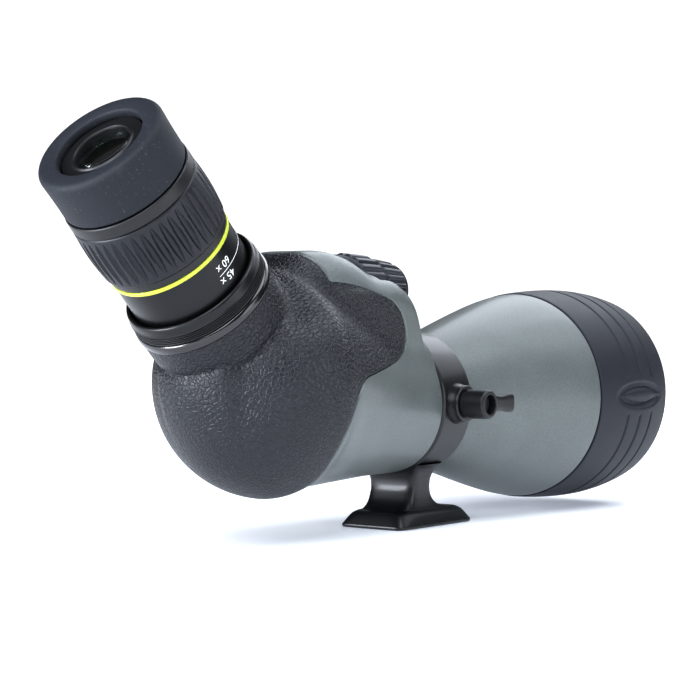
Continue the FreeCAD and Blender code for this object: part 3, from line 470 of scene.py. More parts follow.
def shade_of(colour, factor):
    return tuple(min(part * factor, 1.0) for part in colour)


def armour_finish(colour):
    """Leather-grained rubber: plump grains with narrow creases, under a satin sheen; the creases are painted
    darker as painted shade and the crowns lighter as painted highlight.
    """
    make = Finish("armour_grain", Specular_IOR_Level=0.5)
    cloudy = {"Vector": make.spot, "Scale": 420.0, "Detail": 2.0}
    drift = make.node("ShaderNodeTexNoise", {}, cloudy).outputs[1]
    reach = {0: drift, "Scale": 1.5 * MM}
    shift = make.node("ShaderNodeVectorMath", {"operation": "SCALE"}, reach).outputs[0]
    spot = make.node("ShaderNodeVectorMath", {"operation": "ADD"}, {0: make.spot, 1: shift}).outputs[0]
    crease = make.cells(2.1, "DISTANCE_TO_EDGE", spot)
    plump = make.above(crease, 0.0, 0.24)
    fine = make.noise(0.55, 2.0, 0.6)
    wide = make.noise(11.0, 4.0)
    # painted shade and highlight: the tone is darker in the grain's creases and lighter on its crowns, mixed with
    # a random cloudy tone
    tone = make.ramp(plump * 0.55 + wide * 0.45, (0.1, shade_of(colour, 0.62)), (0.5, colour),
                     (0.95, shade_of(colour, 1.25)))
    make.colour(tone)
    make.gloss(0.43 - 0.10 * plump + 0.10 * wide)
    make.bump(plump * 0.75 + fine * 0.3 + wide * 0.6, 0.34, 0.85)
    return make.material


def soft_rubber_finish(name, colour, dust=0.0, rough=0.56, grain=0.5):
    """Moulded rubber: a fine leathery grain, cloudy tone, and dust specks where asked."""
    make = Finish(name, Specular_IOR_Level=0.45)
    fine = make.noise(grain, 2.0, 0.6)
    cloud = make.noise(14.0, 4.0)
    tone = make.ramp(cloud * 0.75 + fine * 0.25, (0.25, shade_of(colour, 0.78)), (0.6, colour),
                     (0.85, shade_of(colour, 1.3)))
    if dust:
        speck = make.above(make.noise(0.75, 0.0, 0.4), 0.76, 0.82)
        film = make.above(make.noise(9.0, 5.0, 0.7), 0.54, 0.80)
        tone = make.mix(speck * (0.14 * dust) + film * (0.03 * dust), tone, (0.33, 0.37, 0.42))
    make.colour(tone)
    make.gloss(rough + 0.12 * cloud)
    make.bump(fine + 0.4 * cloud, 0.05, 0.8)
    return make.material


def flake_paint_finish(colour):
    """Grey metallic paint: tiny bright and dark flakes under a satin lacquer."""
    make = Finish("flake_paint", Coat_Weight=0.25, Coat_Roughness=0.22)
    flake = make.cells(0.42)
    sparkle = make.above(make.noise(0.5, 2.0, 0.7), 0.35, 0.75)
    cloud = make.noise(22.0, 2.0)
    tone = make.ramp(sparkle * 0.6 + cloud * 0.4, (0.1, shade_of(colour, 0.72)), (0.5, colour),
                     (0.95, shade_of(colour, 1.4)))
    make.colour(tone)
    make.feed(make.shader.inputs["Metallic"], 0.30 + 0.35 * sparkle)
    make.gloss(0.40 + 0.12 * flake + 0.06 * cloud)
    make.bump(flake + sparkle, 0.015, 0.5)
    return make.material


def painted_finish(name, colour, rough, bright=1.0, coat=0.0, grain=0.35, depth=0.02, metallic=0.0):
    """Anodised, powder-coated, moulded or lacquered: fine grain, faint handling marks."""
    make = Finish(name, Coat_Weight=coat, Coat_Roughness=0.12, Specular_IOR_Level=0.5)
    fine = make.noise(grain, 2.0, 0.6)
    wear = make.above(make.noise(5.0, 6.0, 0.72), 0.55, 0.80)
    tone = make.ramp(fine * 0.5 + wear * 0.5, (0.1, shade_of(colour, 0.8)), (0.45, colour),
                     (0.95, shade_of(colour, 1.6 * bright)))
    make.colour(tone)
    make.gloss(rough + 0.10 * fine + 0.08 * wear)
    make.feed(make.shader.inputs["Metallic"], metallic + 0.1 * fine)
    make.bump(fine, depth, 0.7)
    return make.material


def turned_metal_finish(name, colour, rough):
    """Turned metal: fine tool lines across, a little tarnish."""
    make = Finish(name)
    tarnish = make.noise(4.0, 4.0)
    lines = Value(make, make.node("ShaderNodeTexWave", {"wave_type": "BANDS", "bands_direction": "X"},
                                  {"Vector": make.spot, "Scale": 900.0, "Distortion": 1.5}).outputs[1])
    make.colour(make.ramp(tarnish, (0.3, shade_of(colour, 0.75)), (0.7, colour)))
    make.feed(make.shader.inputs["Metallic"], 0.92 + 0.08 * tarnish)
    make.gloss(rough + 0.12 * tarnish + 0.05 * lines)
    make.bump(lines, 0.01, 0.4)
    return make.material


def felt_finish(colour):
    """Short matted fibres."""
    make = Finish("flock_felt", Sheen_Weight=0.4)
    fibre = make.noise(0.3, 4.0, 0.75)
    make.colour(make.ramp(fibre, (0.3, shade_of(colour, 0.5)), (0.7, shade_of(colour, 1.6))))
    make.gloss(0.9 + 0.08 * fibre)
    make.bump(fibre, 0.2, 1.0)
    return make.material


def glass_finish(name, tint, reflection):
    """Coated glass: nearly clear, with a coloured reflection and the faintest smear."""
    make = Finish(name, Transmission_Weight=1.0, IOR=1.52, Specular_Tint=(*reflection, 1.0))
    smear = make.noise(7.0, 3.0)
    make.colour(make.ramp(smear, (0.2, tint), (0.8, shade_of(tint, 1.06))))
    make.gloss(0.01 + 0.03 * smear)
    return make.material


def mark_finish():
    """Screen-printed white ink with slightly worn edges."""
    make = Finish("mark_ink")
    worn = make.noise(0.5, 3.0, 0.7)
    make.colour(make.ramp(worn, (0.25, (0.45, 0.45, 0.44)), (0.5, (0.86, 0.86, 0.84))))
    make.gloss(0.45 + 0.1 * worn)
    return make.material


FINISHES = {}


def finish(name):
    return FINISHES[name]


# ---------------------------------------------------------------- sizes and colours


def length(name, default, description):
    return FloatProperty(name=name, description=description, default=default * MM, subtype="DISTANCE",
                         unit="LENGTH", precision=4)


def colour(name, default, description):
    return FloatVectorProperty(name=name, description=description, default=default, size=3, min=0, max=1,
                               subtype="COLOR")


def count(name, default, description):
    return IntProperty(name=name, description=description, default=default, min=3, max=120)


class ScopeColours(bpy.types.PropertyGroup):
    """Colours of the finishes."""

    paint: colour("Flake paint", (0.140, 0.159, 0.155), "Metallic grey of the barrel and housing")
    armour: colour("Armour", (0.0070, 0.0082, 0.0122), "Grained rubber of the housing")
    shade: colour("Sunshade", (0.0115, 0.0135, 0.0205), "Smooth rubber of the sunshade")
    knob: colour("Knob rubber", (0.0105, 0.0125, 0.020), "Rubber of the focus knobs")
    cup: colour("Eyecup rubber", (0.0080, 0.0105, 0.0165), "Rubber of the eyecup")
    grip: colour("Grip rubber", (0.0060, 0.0075, 0.0115), "Rubber of the zoom grip")
    black: colour("Black", (0.0075, 0.0078, 0.009), "Anodised and gloss black parts")
    foot: colour("Foot", (0.0045, 0.0048, 0.0062), "Satin black of the tripod foot")
    lime: colour("Lime ring", (0.60, 0.70, 0.05), "Trim ring above the scale")


class ScopeSizes(bpy.types.PropertyGroup):
    """Sizes and counts that a user would change."""

    knob_ribs: count("Knob ribs", 22, "Lengthwise ribs round each focus knob")
    grip_grooves: count("Grip grooves", 42, "Scalloped grooves round the zoom grip")
    lock_grooves: count("Lock ring grooves", 4, "Fine grooves round the lock ring")
    rib_depth: length("Rib depth", 1.3, "Depth of the valleys between the knob ribs")
    groove_depth: length("Groove depth", 1.35, "Depth of the zoom grip's grooves")
    shade_groove: length("Sunshade groove", 1.05, "Depth of the grooves round the sunshade")
    armour_step: length("Armour step", 1.2, "Height of the armour's front edge")
    lens: FloatProperty(name="Lens", description="Focal length of the camera", default=104.07, min=20,
                        max=300, unit="CAMERA")
    camera_turn: FloatProperty(name="Camera turn", description="Direction of view round the scope",
                               default=math.radians(-53.03), subtype="ANGLE")
    camera_tilt: FloatProperty(name="Camera tilt", description="Height of view above the horizon",
                               default=math.radians(1.04), subtype="ANGLE")


def sizes():
    return bpy.context.scene.scope_sizes


def colours():
    return bpy.context.scene.scope_colours


# ---------------------------------------------------------------- pieces


class SCOPE_OT_finishes(bpy.types.Operator):
    """Mix every finish and put them on the frame's own parts"""

    bl_idname = "scope.finishes"
    bl_label = "Finishes"

    def execute(self, context):
        tone = colours()
        black, foot = tuple(tone.black), tuple(tone.foot)
        FINISHES.update({
            "armour": armour_finish(tuple(tone.armour)),
            "shade": soft_rubber_finish("shade_rubber_finish", tuple(tone.shade), 0.0, 0.50, 0.45),
            "knob": soft_rubber_finish("knob_rubber_finish", tuple(tone.knob), 0.10, 0.36, 0.4),
            "cup": soft_rubber_finish("cup_rubber_finish", tuple(tone.cup), 0.9, 0.62, 0.35),
            "grip": soft_rubber_finish("grip_rubber_finish", tuple(tone.grip), 0.25, 0.38, 0.35),
            "paint": flake_paint_finish(tuple(tone.paint)),
            "casting": painted_finish("satin_casting", foot, 0.34, 1.2, 0.15, 0.5, 0.03),
            "anodised": painted_finish("black_anodised_finish", black, 0.30, 1.2, 0.1, 0.25, 0.008, 0.3),
            "gloss": painted_finish("black_gloss_finish", black, 0.16, 1.0, 0.6, 0.3, 0.004),
            "satin": painted_finish("black_satin_finish", black, 0.36, 1.3, 0.0, 0.3, 0.012),
            "matte": painted_finish("matte_black_finish", shade_of(black, 0.7), 0.75, 1.0, 0.0, 0.3, 0.02),
            "nylon": painted_finish("nylon_finish", shade_of(black, 3.0), 0.5, 1.0, 0.0, 0.6, 0.02),
            "steel": turned_metal_finish("steel_finish", (0.56, 0.56, 0.58), 0.26),
            "dark_steel": turned_metal_finish("dark_steel_finish", (0.075, 0.075, 0.082), 0.3),
            "aluminium": turned_metal_finish("aluminium_finish", (0.60, 0.61, 0.63), 0.3),
            "brass": turned_metal_finish("brass_finish", (0.66, 0.50, 0.22), 0.28),
            "felt": felt_finish((0.02, 0.02, 0.02)),
            "glass": glass_finish("optical_glass", (0.93, 0.97, 0.95), (0.62, 0.95, 0.78)),
            "front_glass": glass_finish("coated_front_glass", (0.94, 0.96, 0.97), (0.72, 0.62, 1.0)),
            "lime": painted_finish("lime_lacquer", tuple(tone.lime), 0.28, 1.0, 0.4, 0.4, 0.006),
            "mark": mark_finish(),
        })
        by_slot = {
            "black_casting": "casting", "steel": "steel", "dark_steel": "dark_steel", "nylon": "nylon",
            "black_anodised": "anodised", "black_gloss": "gloss", "black_satin": "satin",
            "grey_paint": "paint", "rubber_armour": "armour", "matte_black": "matte", "glass": "glass",
            "felt": "felt", "brass": "brass", "aluminium": "aluminium", "knob_rubber": "knob",
            "lime_paint": "lime", "eyecup_rubber": "cup",
        }
        for part in frame["record"]["subparts"]:
            node = frame["nodes"][part["node"]]
            node.data.materials.clear()
            node.data.materials.append(finish(by_slot[part["material_slot"]]))
        return {"FINISHED"}


class SCOPE_OT_housing(bpy.types.Operator):
    """Build the painted part of the prism housing, up to the tripod collar"""

    bl_idname = "scope.housing"
    bl_label = "Painted housing"

    def execute(self, context):
        # a column keeps its bearing up to the rubber's nose, then spreads out to the collar
        columns, rows = 352, 112
        rim_angle, rear, side, share = edge_path(columns)
        front, nose = BARREL[-1, 0], EDGE[:, 1].max()
        lip = [(-3.0, 1.45), (0.05, 1.3), (0.35, 1.0), (0.7, 0.35), (1.15, 0.0)]
        ways = [((front - 0.4 - (rear - 3)) * part + rear - 3, 3.6) for part in np.linspace(1, 0, 14)]
        ways += [(rear + out, depth) for out, depth in lip]
        ways += [(rear + 1.5 + (front - 0.6 - rear - 1.5) * part, 0.0) for part in np.linspace(0, 1, rows)]
        ways += [(0 * rear + front - 0.15, 0.15), (0 * rear + front, 0.6)]
        station = np.stack([way[0] for way in ways])
        inset = np.stack([way[1] + 0 * rear for way in ways])
        spread = ease(station, nose - 2, front)
        bearing = ((1 - spread) * rim_angle + spread * math.pi * share) * side
        start = np.stack([station, 0 * station, EDGE_RISE + 0 * station], -1)
        spots = outermost(start, radial_heading(bearing), inset, near=2.0, far=76.0, samples=110)
        solid("housing_paint", [(fit_place(spots), grid_faces(len(ways), columns, wrap_rows=True))],
              "scope_body", finish("paint"), ["body_shell"], sharp=50)
        return {"FINISHED"}


class SCOPE_OT_armour(bpy.types.Operator):
    """Build the grained rubber skin over the ball, the hump and the neck"""

    bl_idname = "scope.armour"
    bl_label = "Rubber armour"

    def execute(self, context):
        # rays from inside the ball turn evenly from the front edge to the neck's rim
        centre = np.array([-92.0, 0.0, 14.0])
        columns, rows = 352, 112
        rim, side, way = edge_curve(columns)
        edge = rim - centre
        angle = side * (0.5 * np.arctan2(np.abs(rim[:, 1]), rim[:, 2] - EDGE_RISE) + 0.5 * math.pi * way)
        ring = EYE.polar(0 * angle + NECK[2], NECK[3] - 0.05, math.pi / 2 + angle) - OPTICS.origin - centre
        edge_far = np.linalg.norm(edge, axis=-1)
        first = edge / edge_far[:, None]
        last = ring / np.linalg.norm(ring, axis=-1)[:, None]
        sweep = np.arccos(np.clip((first * last).sum(-1), -1, 1))

        step = sizes().armour_step / MM
        roll = [(0.0, 1.35), (0.0, step), (0.12, step * 0.6), (0.4, step * 0.2), (0.8, 0.0)]
        share = [out / (edge_far * sweep) for out, _ in roll]
        inset = [depth + 0 * angle for _, depth in roll]
        begin = share[-1]
        for part in np.linspace(0, 1, rows)[1:]:
            share.append(begin + (1 - begin) * part)
            inset.append(0 * angle)
        for part in np.linspace(1, 0, 26):
            share.append(0 * angle + part)
            inset.append(1.4 + 0 * angle)
        share, inset = np.stack(share), np.stack(inset)
        heading = (np.sin((1 - share) * sweep)[..., None] * first + np.sin(share * sweep)[..., None] * last)
        heading /= np.linalg.norm(heading, axis=-1)[..., None]
        spots = outermost(centre + 0 * heading, heading, inset, near=10.0, far=100.0, samples=150)
        solid("armour_skin", [(fit_place(spots), grid_faces(len(share), columns, wrap_rows=True))],
              "scope_body", finish("armour"), ["rubber_armour"], sharp=60)
        return {"FINISHED"}


class SCOPE_OT_barrel(bpy.types.Operator):
    """Build the flared objective barrel and its front glass"""

    bl_idname = "scope.barrel"
    bl_label = "Objective barrel"

    def execute(self, context):
        part = np.linspace(0, 1, 60)[:, None]
        poles = np.array([(24.2, 30.3), (64.0, 41.3), (98.8, 51.15), (111.3, 51.75)])
        shares = [(1 - part) ** 3, 3 * part * (1 - part) ** 2, 3 * part ** 2 * (1 - part), part ** 3]
        outer = sum(share * pole for share, pole in zip(shares, poles))
        nose = rounded([(111.3, 51.75, 0), (111.9, 51.75, 0.5), (111.9, 47.4, 0.6), (168.0, 47.4, 0.6),
                        (168.0, 45.2, 0.6), (99.0, 45.2, 2)], closed=False)[:-1]
        inner = outer[::-1][(outer[::-1, 0] < 96) & (outer[::-1, 0] > 41)] - (0, 2.2)
        tail = np.array([(40.0, 29.0), (24.2, 29.0), (24.0, 29.6)])
        outline = np.vstack([outer, nose, inner, tail])
        solid("bell_barrel", [lathe(OPTICS, outline, 224)], "scope_body", finish("paint"),
              ["objective_barrel"])

        # two domed faces meet at a straight rim
        radius, rear, front, rear_curve, front_curve = 41.4, 147.6, 160.0, 150.0, 175.0
        spread = np.linspace(0, 1, 24)[:, None] * radius
        dome = front + np.sqrt(front_curve ** 2 - spread ** 2) - front_curve
        back = rear + rear_curve - np.sqrt(rear_curve ** 2 - spread ** 2)
        outline = np.vstack([np.hstack([dome, spread]), np.hstack([back, spread])[::-1]])
        solid("front_glass", [lathe(OPTICS, outline, 160, closed=False)], "scope_body",
              finish("front_glass"), ["objective_crown"])
        return {"FINISHED"}


def shade_relief(station, radius, angle):
    """Radius of the sunshade's skin: three round-ended grooves and two oval thumb grips.

    The grooves are rounded channels that stop short of the grips. A grip is a dish bounded
    by an ellipse, with a pointed oval rib standing in it."""
    height = np.abs((angle % math.pi + math.pi / 2) % math.pi - math.pi / 2) * radius
    signed = ((angle + math.pi / 2) % math.pi - math.pi / 2) * radius
    depth = sizes().shade_groove / MM
    drop = 0 * station + 0 * angle
    for middle, stop in ((137.6, 11.0), (149.9, 11.8), (162.4, 10.8)):
        past = np.minimum(height - math.radians(stop) * radius, 0)
        drop = np.maximum(drop, depth * (1 - ease(np.hypot(station - middle, past), 0.3, 1.15)))
    long, tall = (station - 149.2) / 25.0, signed / 7.5
    oval = np.hypot(long, tall)
    dish = 2.3 * (1 - ease(oval, 0.66, 1.0))
    rib_long = (station - 152.0) / 20.4
    rib_half = 4.3 * np.clip(1 - rib_long ** 2, 1e-4, 1)
    rib_part = np.clip(np.abs(signed) / rib_half, 0, 1)
    rib = np.where(np.abs(rib_long) < 1, 2.2 * np.sqrt(1 - rib_part ** 2)
                   * np.clip(rib_half / 4.3, 0, 1) ** 0.5, 0)
    return radius - np.maximum(drop, dish - rib)


class SCOPE_OT_sunshade(bpy.types.Operator):
    """Build the sunshade's rubber skin with its grooves and thumb grips"""

    bl_idname = "scope.sunshade"
    bl_label = "Sunshade"

    def execute(self, context):
        # two parabolas meet at the belly; both edges roll in
        rear, front, belly = 112.6, 182.9, 54.25
        station = np.linspace(rear + 0.8, front - 2.2, 118)
        part = (station - rear) / (front - rear) * 2 - 1
        radius = belly - np.where(part < 0, belly - 52.3, belly - 50.6) * part ** 2
        lip = rounded([(station[-1], radius[-1], 0), (front, 50.7, 2.1), (front, 48.2, 1.2),
                       (front - 0.8, 47.4, 0)], steps=8, closed=False)
        heel = rounded([(rear, 50.4, 0), (rear, radius[0], 0.7), (station[0], radius[0], 0)], closed=False)
        skin = np.vstack([heel[:-1], np.stack([station, radius], 1), lip[1:]])
        back = np.array([(front - 1.4, 47.4), (front - 1.4, 49.3), (rear + 0.6, 49.3), (rear + 0.6, 48.3),
                         (rear, 48.3)])
        turns = 456

        def relief(station, radius, angle):
            plain = radius + 0 * angle
            return np.where(radius > 49.5, shade_relief(station, plain, angle), plain)

        outline = np.vstack([skin, back])
        solid("shade_skin", [lathe(OPTICS, outline, turns, relief)], "sunshade",
              finish("shade"), ["shade_rubber"], sharp=40)
        return {"FINISHED"}


class SCOPE_OT_foot(bpy.types.Operator):
    """Build the tripod collar with its foot and clamp boss"""

    bl_idname = "scope.foot"
    bl_label = "Tripod collar and foot"

    def execute(self, context):
        liner = (node_high("collar_liner")[2] - node_low("collar_liner")[2]) / 2
        ring = rounded([(0, liner, 0.3), (0, 32.4, 0.3), (1.0, 33.4, 0.8), (22.5, 33.4, 0.8),
                        (23.5, 32.4, 0.3), (23.5, liner, 0.3)])
        parts = [lathe(OPTICS, ring, 192)]
        boss = rounded([(30.4, 3.2, 0.2), (30.4, 9.6, 0.2), (33.5, 9.4, 1.5), (36.6, 8.6, 1.0),
                        (38.4, 8.6, 0.8), (38.4, 3.2, 0.2)])
        parts.append(lathe(CLAMP, boss, 96))

        # rounded-oblong sections stacked from the base up into the collar:
        # height, half length, half width, squareness, middle
        middle = COLLAR_REAR + 11.75
        sections = np.array([
            (0.0, 29.6, 17.4, 14.0, 0.0), (0.35, 30.1, 17.9, 14.0, 0.0), (1.3, 30.2, 18.0, 14.0, 0.0),
            (2.2, 29.8, 17.7, 12.0, 0.0), (4.5, 28.6, 16.7, 9.0, 0.0), (6.6, 27.2, 15.6, 7.0, 0.0),
            (7.6, 25.6, 14.4, 6.0, 0.0), (8.0, 23.0, 13.9, 6.0, -0.2), (8.5, 19.0, 13.6, 6.0, 0.3),
            (9.6, 14.6, 13.4, 6.0, 0.7), (11.6, 11.4, 13.2, 6.0, 0.9), (14.5, 9.4, 13.0, 6.0, 1.0),
            (18.0, 8.3, 13.0, 6.0, 1.0), (22.0, 8.3, 13.4, 6.0, 1.0), (25.0, 9.2, 14.4, 6.0, 1.0),
            (27.6, 10.6, 16.2, 6.0, 1.0), (29.6, 11.3, 18.6, 6.0, 1.0)])
        rows = np.linspace(0, 1, 64)
        knots = np.linspace(0, 1, len(sections))
        height, long, wide, square, share = (through(knots, sections[:, k], rows)[:, None] for k in range(5))
        angle = np.arange(168)[None, :] * TURN / 168
        c, s = np.cos(angle), np.sin(angle)
        swell = (np.abs(c) ** square + np.abs(s) ** square) ** (-1 / square)
        across = middle * share + long * c * swell
        side = wide * s * swell
        skin = FOOT.place(height + 0 * angle, across, side)
        bore = (node_high("tripod_insert")[0] - node_low("tripod_insert")[0]) / 2
        depth = node_high("tripod_insert")[2]
        hole = [FOOT.polar(0 * angle + level, radius, angle)
                for level, radius in ((depth, 0), (depth, bore), (0.4, bore), (0, bore + 0.4))]
        top = FOOT.place(0 * angle + 29.6, 0 * angle + middle, 0 * angle)
        points = np.concatenate([*hole, skin, top])
        parts.append((points, grid_faces(len(points), angle.size)))
        solid("collar_casting", parts, "tripod_foot", finish("casting"), ["tripod_collar"],
              sharp=48)
        return {"FINISHED"}


class SCOPE_OT_clamp(bpy.types.Operator):
    """Build the clamp lever"""

    bl_idname = "scope.clamp"
    bl_label = "Clamp lever"

    def execute(self, context):
        hub = rounded([(39.1, 3.0, 0.1), (39.1, 6.3, 0.3), (39.6, 6.8, 0.3), (50.2, 6.8, 0.4),
                       (51.2, 5.8, 0.4), (51.2, 4.6, 0.3), (45.6, 4.5, 0.2), (45.6, 3.0, 0.1)])
        parts = [lathe(CLAMP, hub, 96)]
        # the paddle: flattened oval sections along its length, thin and scooped at the waist
        part = np.linspace(0, 1, 48)[:, None]
        reach = 4.8 + part * 21.0
        height = through([0, 0.18, 0.45, 0.75, 1.0], [5.0, 4.2, 3.6, 4.3, 4.4], part)
        tip = np.sqrt(np.clip(1 - ease(part, 0.84, 1.0) ** 3.0, 0, 1))
        thick = through([0, 0.45, 1.0], [2.2, 1.75, 2.1], part)
        thick = thick * np.sqrt(np.clip(1 - ease(part, 0.9, 1), 0, 1))
        angle = np.arange(64)[None, :] * TURN / 64
        c, s = np.cos(angle), np.sin(angle)
        swell = (np.abs(c) ** 3.5 + np.abs(s) ** 3.5) ** (-1 / 3.5)
        middle = 46.9
        blade = CLAMP.place(middle + thick * c * swell, reach + 0 * angle, height * tip * s * swell)
        root = CLAMP.place(0 * angle + middle, 0 * angle + reach[0], 0 * angle)
        point = CLAMP.place(0 * angle + middle, 0 * angle + reach[-1], 0 * angle)
        points = np.concatenate([root, blade, point])
        parts.append((points, grid_faces(len(points), angle.size)))
        solid("clamp_paddle", parts, "clamp_handle", finish("satin"), ["clamp_lever"],
              sharp=45)
        return {"FINISHED"}


def ribbed(rear, front, outer, crown, ribs, depth):
    """Radius of a ribbed sleeve: rounded ribs with narrow valleys, fading at both ends.

    The rib profile is one minus the fifth power of the cosine's size, so that crests are
    broad, and the whole sleeve bulges by the crown."""

    def wave(station, radius, angle):
        span = (station - rear) / (front - rear)
        valley = np.abs(np.cos(angle * ribs / 2)) ** 5
        fade = ease(span, 0.0, 0.09) * (1 - ease(span, 0.86, 1.0))
        skin = ease(radius, outer - 3.2, outer - 2.0)
        bulge = crown * (1 - (2 * span - 1) ** 2)
        return radius + skin * (bulge - depth * valley * fade)

    return wave


class SCOPE_OT_knobs(bpy.types.Operator):
    """Build the ribbed coarse and fine focus knobs"""

    bl_idname = "scope.knobs"
    bl_label = "Focus knobs"

    def execute(self, context):
        ribs, depth = sizes().knob_ribs, sizes().rib_depth / MM
        for word, rear, front, outer, nose in (("coarse", -36.0, -17.8, 17.0, 16.1),
                                               ("fine", -17.2, 0.6, 15.2, 13.5)):
            rim = outer - 3.4
            outline = refined(rounded([(rear, rim, 0.1), (rear, outer - 1.0, 0.2),
                                       (rear + 1.0, outer - 0.1, 0.7), (front - 2.2, nose + 0.1, 1.2),
                                       (front, nose - 1.8, 1.0), (front, rim, 0.1)]), 0.7)
            wave = ribbed(rear, front, outer, 0.15, ribs, depth)
            solid(word + "_sleeve", [lathe(FOCUS, outline, ribs * 14, wave)], word + "_focus",
                  finish("knob"), [word + "_grip"], sharp=55)
        return {"FINISHED"}


class SCOPE_OT_socket(bpy.types.Operator):
    """Build the eyepiece flange and the lock ring"""

    bl_idname = "scope.socket"
    bl_label = "Flange and lock ring"

    def execute(self, context):
        flange = rounded([(52.2, 22.0, 0), (75.0, 22.0, 0.2), (75.0, 27.7, 0.4), (70.6, 27.7, 0.2),
                          (70.6, 30.5, 0.7), (69.4, 31.5, 0.8), (67.0, 31.6, 0.5), (66.2, 30.9, 0.3),
                          (66.2, 24.6, 0.2), (52.2, 24.6, 0)])
        solid("socket_flange", [lathe(EYE, flange, 192)], "scope_body", finish("gloss"),
              ["eyepiece_flange"])
        groove_start, groove_span = 71.75, 3.7
        pitch = groove_span / sizes().lock_grooves
        grooves = [(groove_start + pitch * index + out, radius, 0.07) for index in range(sizes().lock_grooves)
                   for out, radius in ((0.0, 30.82), (0.2, 30.3), (0.42, 30.3), (0.62, 30.8))]
        outline = rounded([(70.75, 27.8, 0.1), (70.75, 30.5, 0.3), (71.3, 30.85, 0.2), *grooves,
                           (75.9, 30.4, 0.2), (78.6, 30.1, 0.7), (79.5, 29.3, 0.5), (79.5, 28.4, 0.3),
                           (78.6, 27.9, 0.2), (75.3, 27.8, 0.1)])
        solid("lock_collar", [lathe(EYE, outline, 192)], "eyepiece_lock",
              finish("anodised"), ["lock_ring"], sharp=60)
        return {"FINISHED"}


class SCOPE_OT_zoom(bpy.types.Operator):
    """Build the scale barrel, the trim ring, the zoom sleeve and its scalloped grip"""

    bl_idname = "scope.zoom"
    bl_label = "Zoom ring"

    def execute(self, context):
        inner = 22.1
        solid("scale_tube", [lathe(EYE, tube(75.8, 95.9, inner, 27.0, 0.25), 192)], "zoom_ring",
              finish("anodised"), ["scale_barrel"])
        solid("lime_trim", [lathe(EYE, tube(96.1, 97.85, inner, 27.55, 0.35), 192)], "zoom_ring",
              finish("lime"), ["lime_ring"])
        sleeve = rounded([(98.0, inner, 0), (98.0, 27.1, 0.1), (98.4, 27.35, 0.2), (101.6, 27.9, 0.1),
                          (101.9, 27.2, 0.1), (127.3, 27.2, 0.1), (127.9, 28.2, 0.2), (128.3, 28.45, 0.3),
                          (133.0, 28.3, 0.4), (133.4, 27.8, 0.2), (133.4, inner, 0)])
        solid("zoom_body", [lathe(EYE, sleeve, 192)], "zoom_ring", finish("satin"),
              ["zoom_sleeve"])

        low, high = 101.6, 127.6
        grooves, depth = sizes().grip_grooves, sizes().groove_depth / MM
        outline = refined(rounded([(low, 26.2, 0.1), (low, 27.8, 0.3), (low + 0.7, 28.3, 0.4),
                                   (high - 0.7, 28.4, 0.4), (high, 27.8, 0.3), (high, 26.2, 0.1)]), 0.55)

        def scallop(station, radius, angle):
            span = np.clip((station - low) / (high - low), 0, 1)
            bulge = 0.75 * np.sin(math.pi * span) * ease(radius, 26.4, 27.6)
            part = np.clip((span - 0.07) / 0.86, 0, 1)
            half = 1.55 * np.sin(math.pi * part) ** 0.45 + 1e-4
            arc = ((angle * grooves / TURN + 0.5) % 1 - 0.5) * TURN / grooves * radius
            bowl = np.clip(1 - (arc / half) ** 2, 0, 1) ** 0.7 * (half / 1.55)
            return radius + bulge - depth * bowl * ease(radius, 26.6, 27.6)

        solid("scalloped_grip", [lathe(EYE, outline, grooves * 16, scallop)], "zoom_ring",
              finish("grip"), ["zoom_grip"], sharp=50)
        return {"FINISHED"}


def wrapped_text(words, station, turn, radius, height):
    """Figures laid round the barrel: reading goes against the angle, tops face the scope."""
    text = bpy.data.curves.new("figures", "FONT")
    text.body = words
    text.size = height
    text.align_x, text.align_y = "CENTER", "CENTER"
    text.extrude = 0.05
    text.offset = 0.02
    holder = bpy.data.objects.new("figures", text)
    mesh = bpy.data.meshes.new_from_object(holder)
    spots = np.zeros(len(mesh.vertices) * 3, np.float32)
    mesh.vertices.foreach_get("co", spots)
    spots = spots.reshape(-1, 3)
    faces = [list(face.vertices) for face in mesh.polygons]
    bpy.data.meshes.remove(mesh)
    bpy.data.objects.remove(holder)
    bpy.data.curves.remove(text)
    placed = EYE.polar(station - spots[:, 1], radius + spots[:, 2], turn - spots[:, 0] / radius)
    return placed, faces


class SCOPE_OT_marks(bpy.types.Operator):
    """Print the zoom scale: a thin line with plain figures on both sides"""

    bl_idname = "scope.marks"
    bl_label = "Zoom scale"

    def execute(self, context):
        radius = 27.04
        line_at, line_from, line_to = 87.2, math.radians(-15.0), math.radians(162.0)
        angle = np.linspace(line_from, line_to, 120)[None, :]
        edge = np.array([(-0.14, -0.08), (0.14, -0.08), (0.14, 0.03), (-0.14, 0.03)])
        ribbon = EYE.polar(line_at + edge[:, :1], radius + edge[:, 1:], angle)
        ends = [np.repeat(part.mean(0, keepdims=True), 4, axis=0) for part in (ribbon[:, :1], ribbon[:, -1:])]
        points = np.concatenate([ends[0], ribbon, ends[1]], axis=1)
        groups = [(points.reshape(-1, 3), grid_faces(4, points.shape[1], True, False).tolist())]
        pairs = (("45 x", "60 x", -7.0), ("37", "50", 76.0), ("30", "40", 100.0), ("22", "30", 124.0),
                 ("15", "20", 148.0))
        for low, high, turn in pairs:
            groups.append(wrapped_text(low, 84.4, math.radians(turn - 1.0), radius, 4.6))
            groups.append(wrapped_text(high, 90.1, math.radians(turn + 1.5), radius, 4.6))
        spots, faces, offset = [], [], 0
        for points, shapes in groups:
            spots.append(points)
            faces += [[corner + offset for corner in shape] for shape in shapes]
            offset += len(points)
        mesh = bpy.data.meshes.new("scale_figures")
        mesh.from_pydata((np.concatenate(spots) * MM).tolist(), [], faces)
        work = bmesh.new()
        work.from_mesh(mesh)
        bmesh.ops.remove_doubles(work, verts=work.verts, dist=2e-6)
        bmesh.ops.recalc_face_normals(work, faces=work.faces)
        work.to_mesh(mesh)
        work.free()
        mesh.materials.append(finish("mark"))
        piece = bpy.data.objects.new("scale_figures", mesh)
        bpy.context.scene.collection.objects.link(piece)
        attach(piece, "zoom_ring")
        return {"FINISHED"}


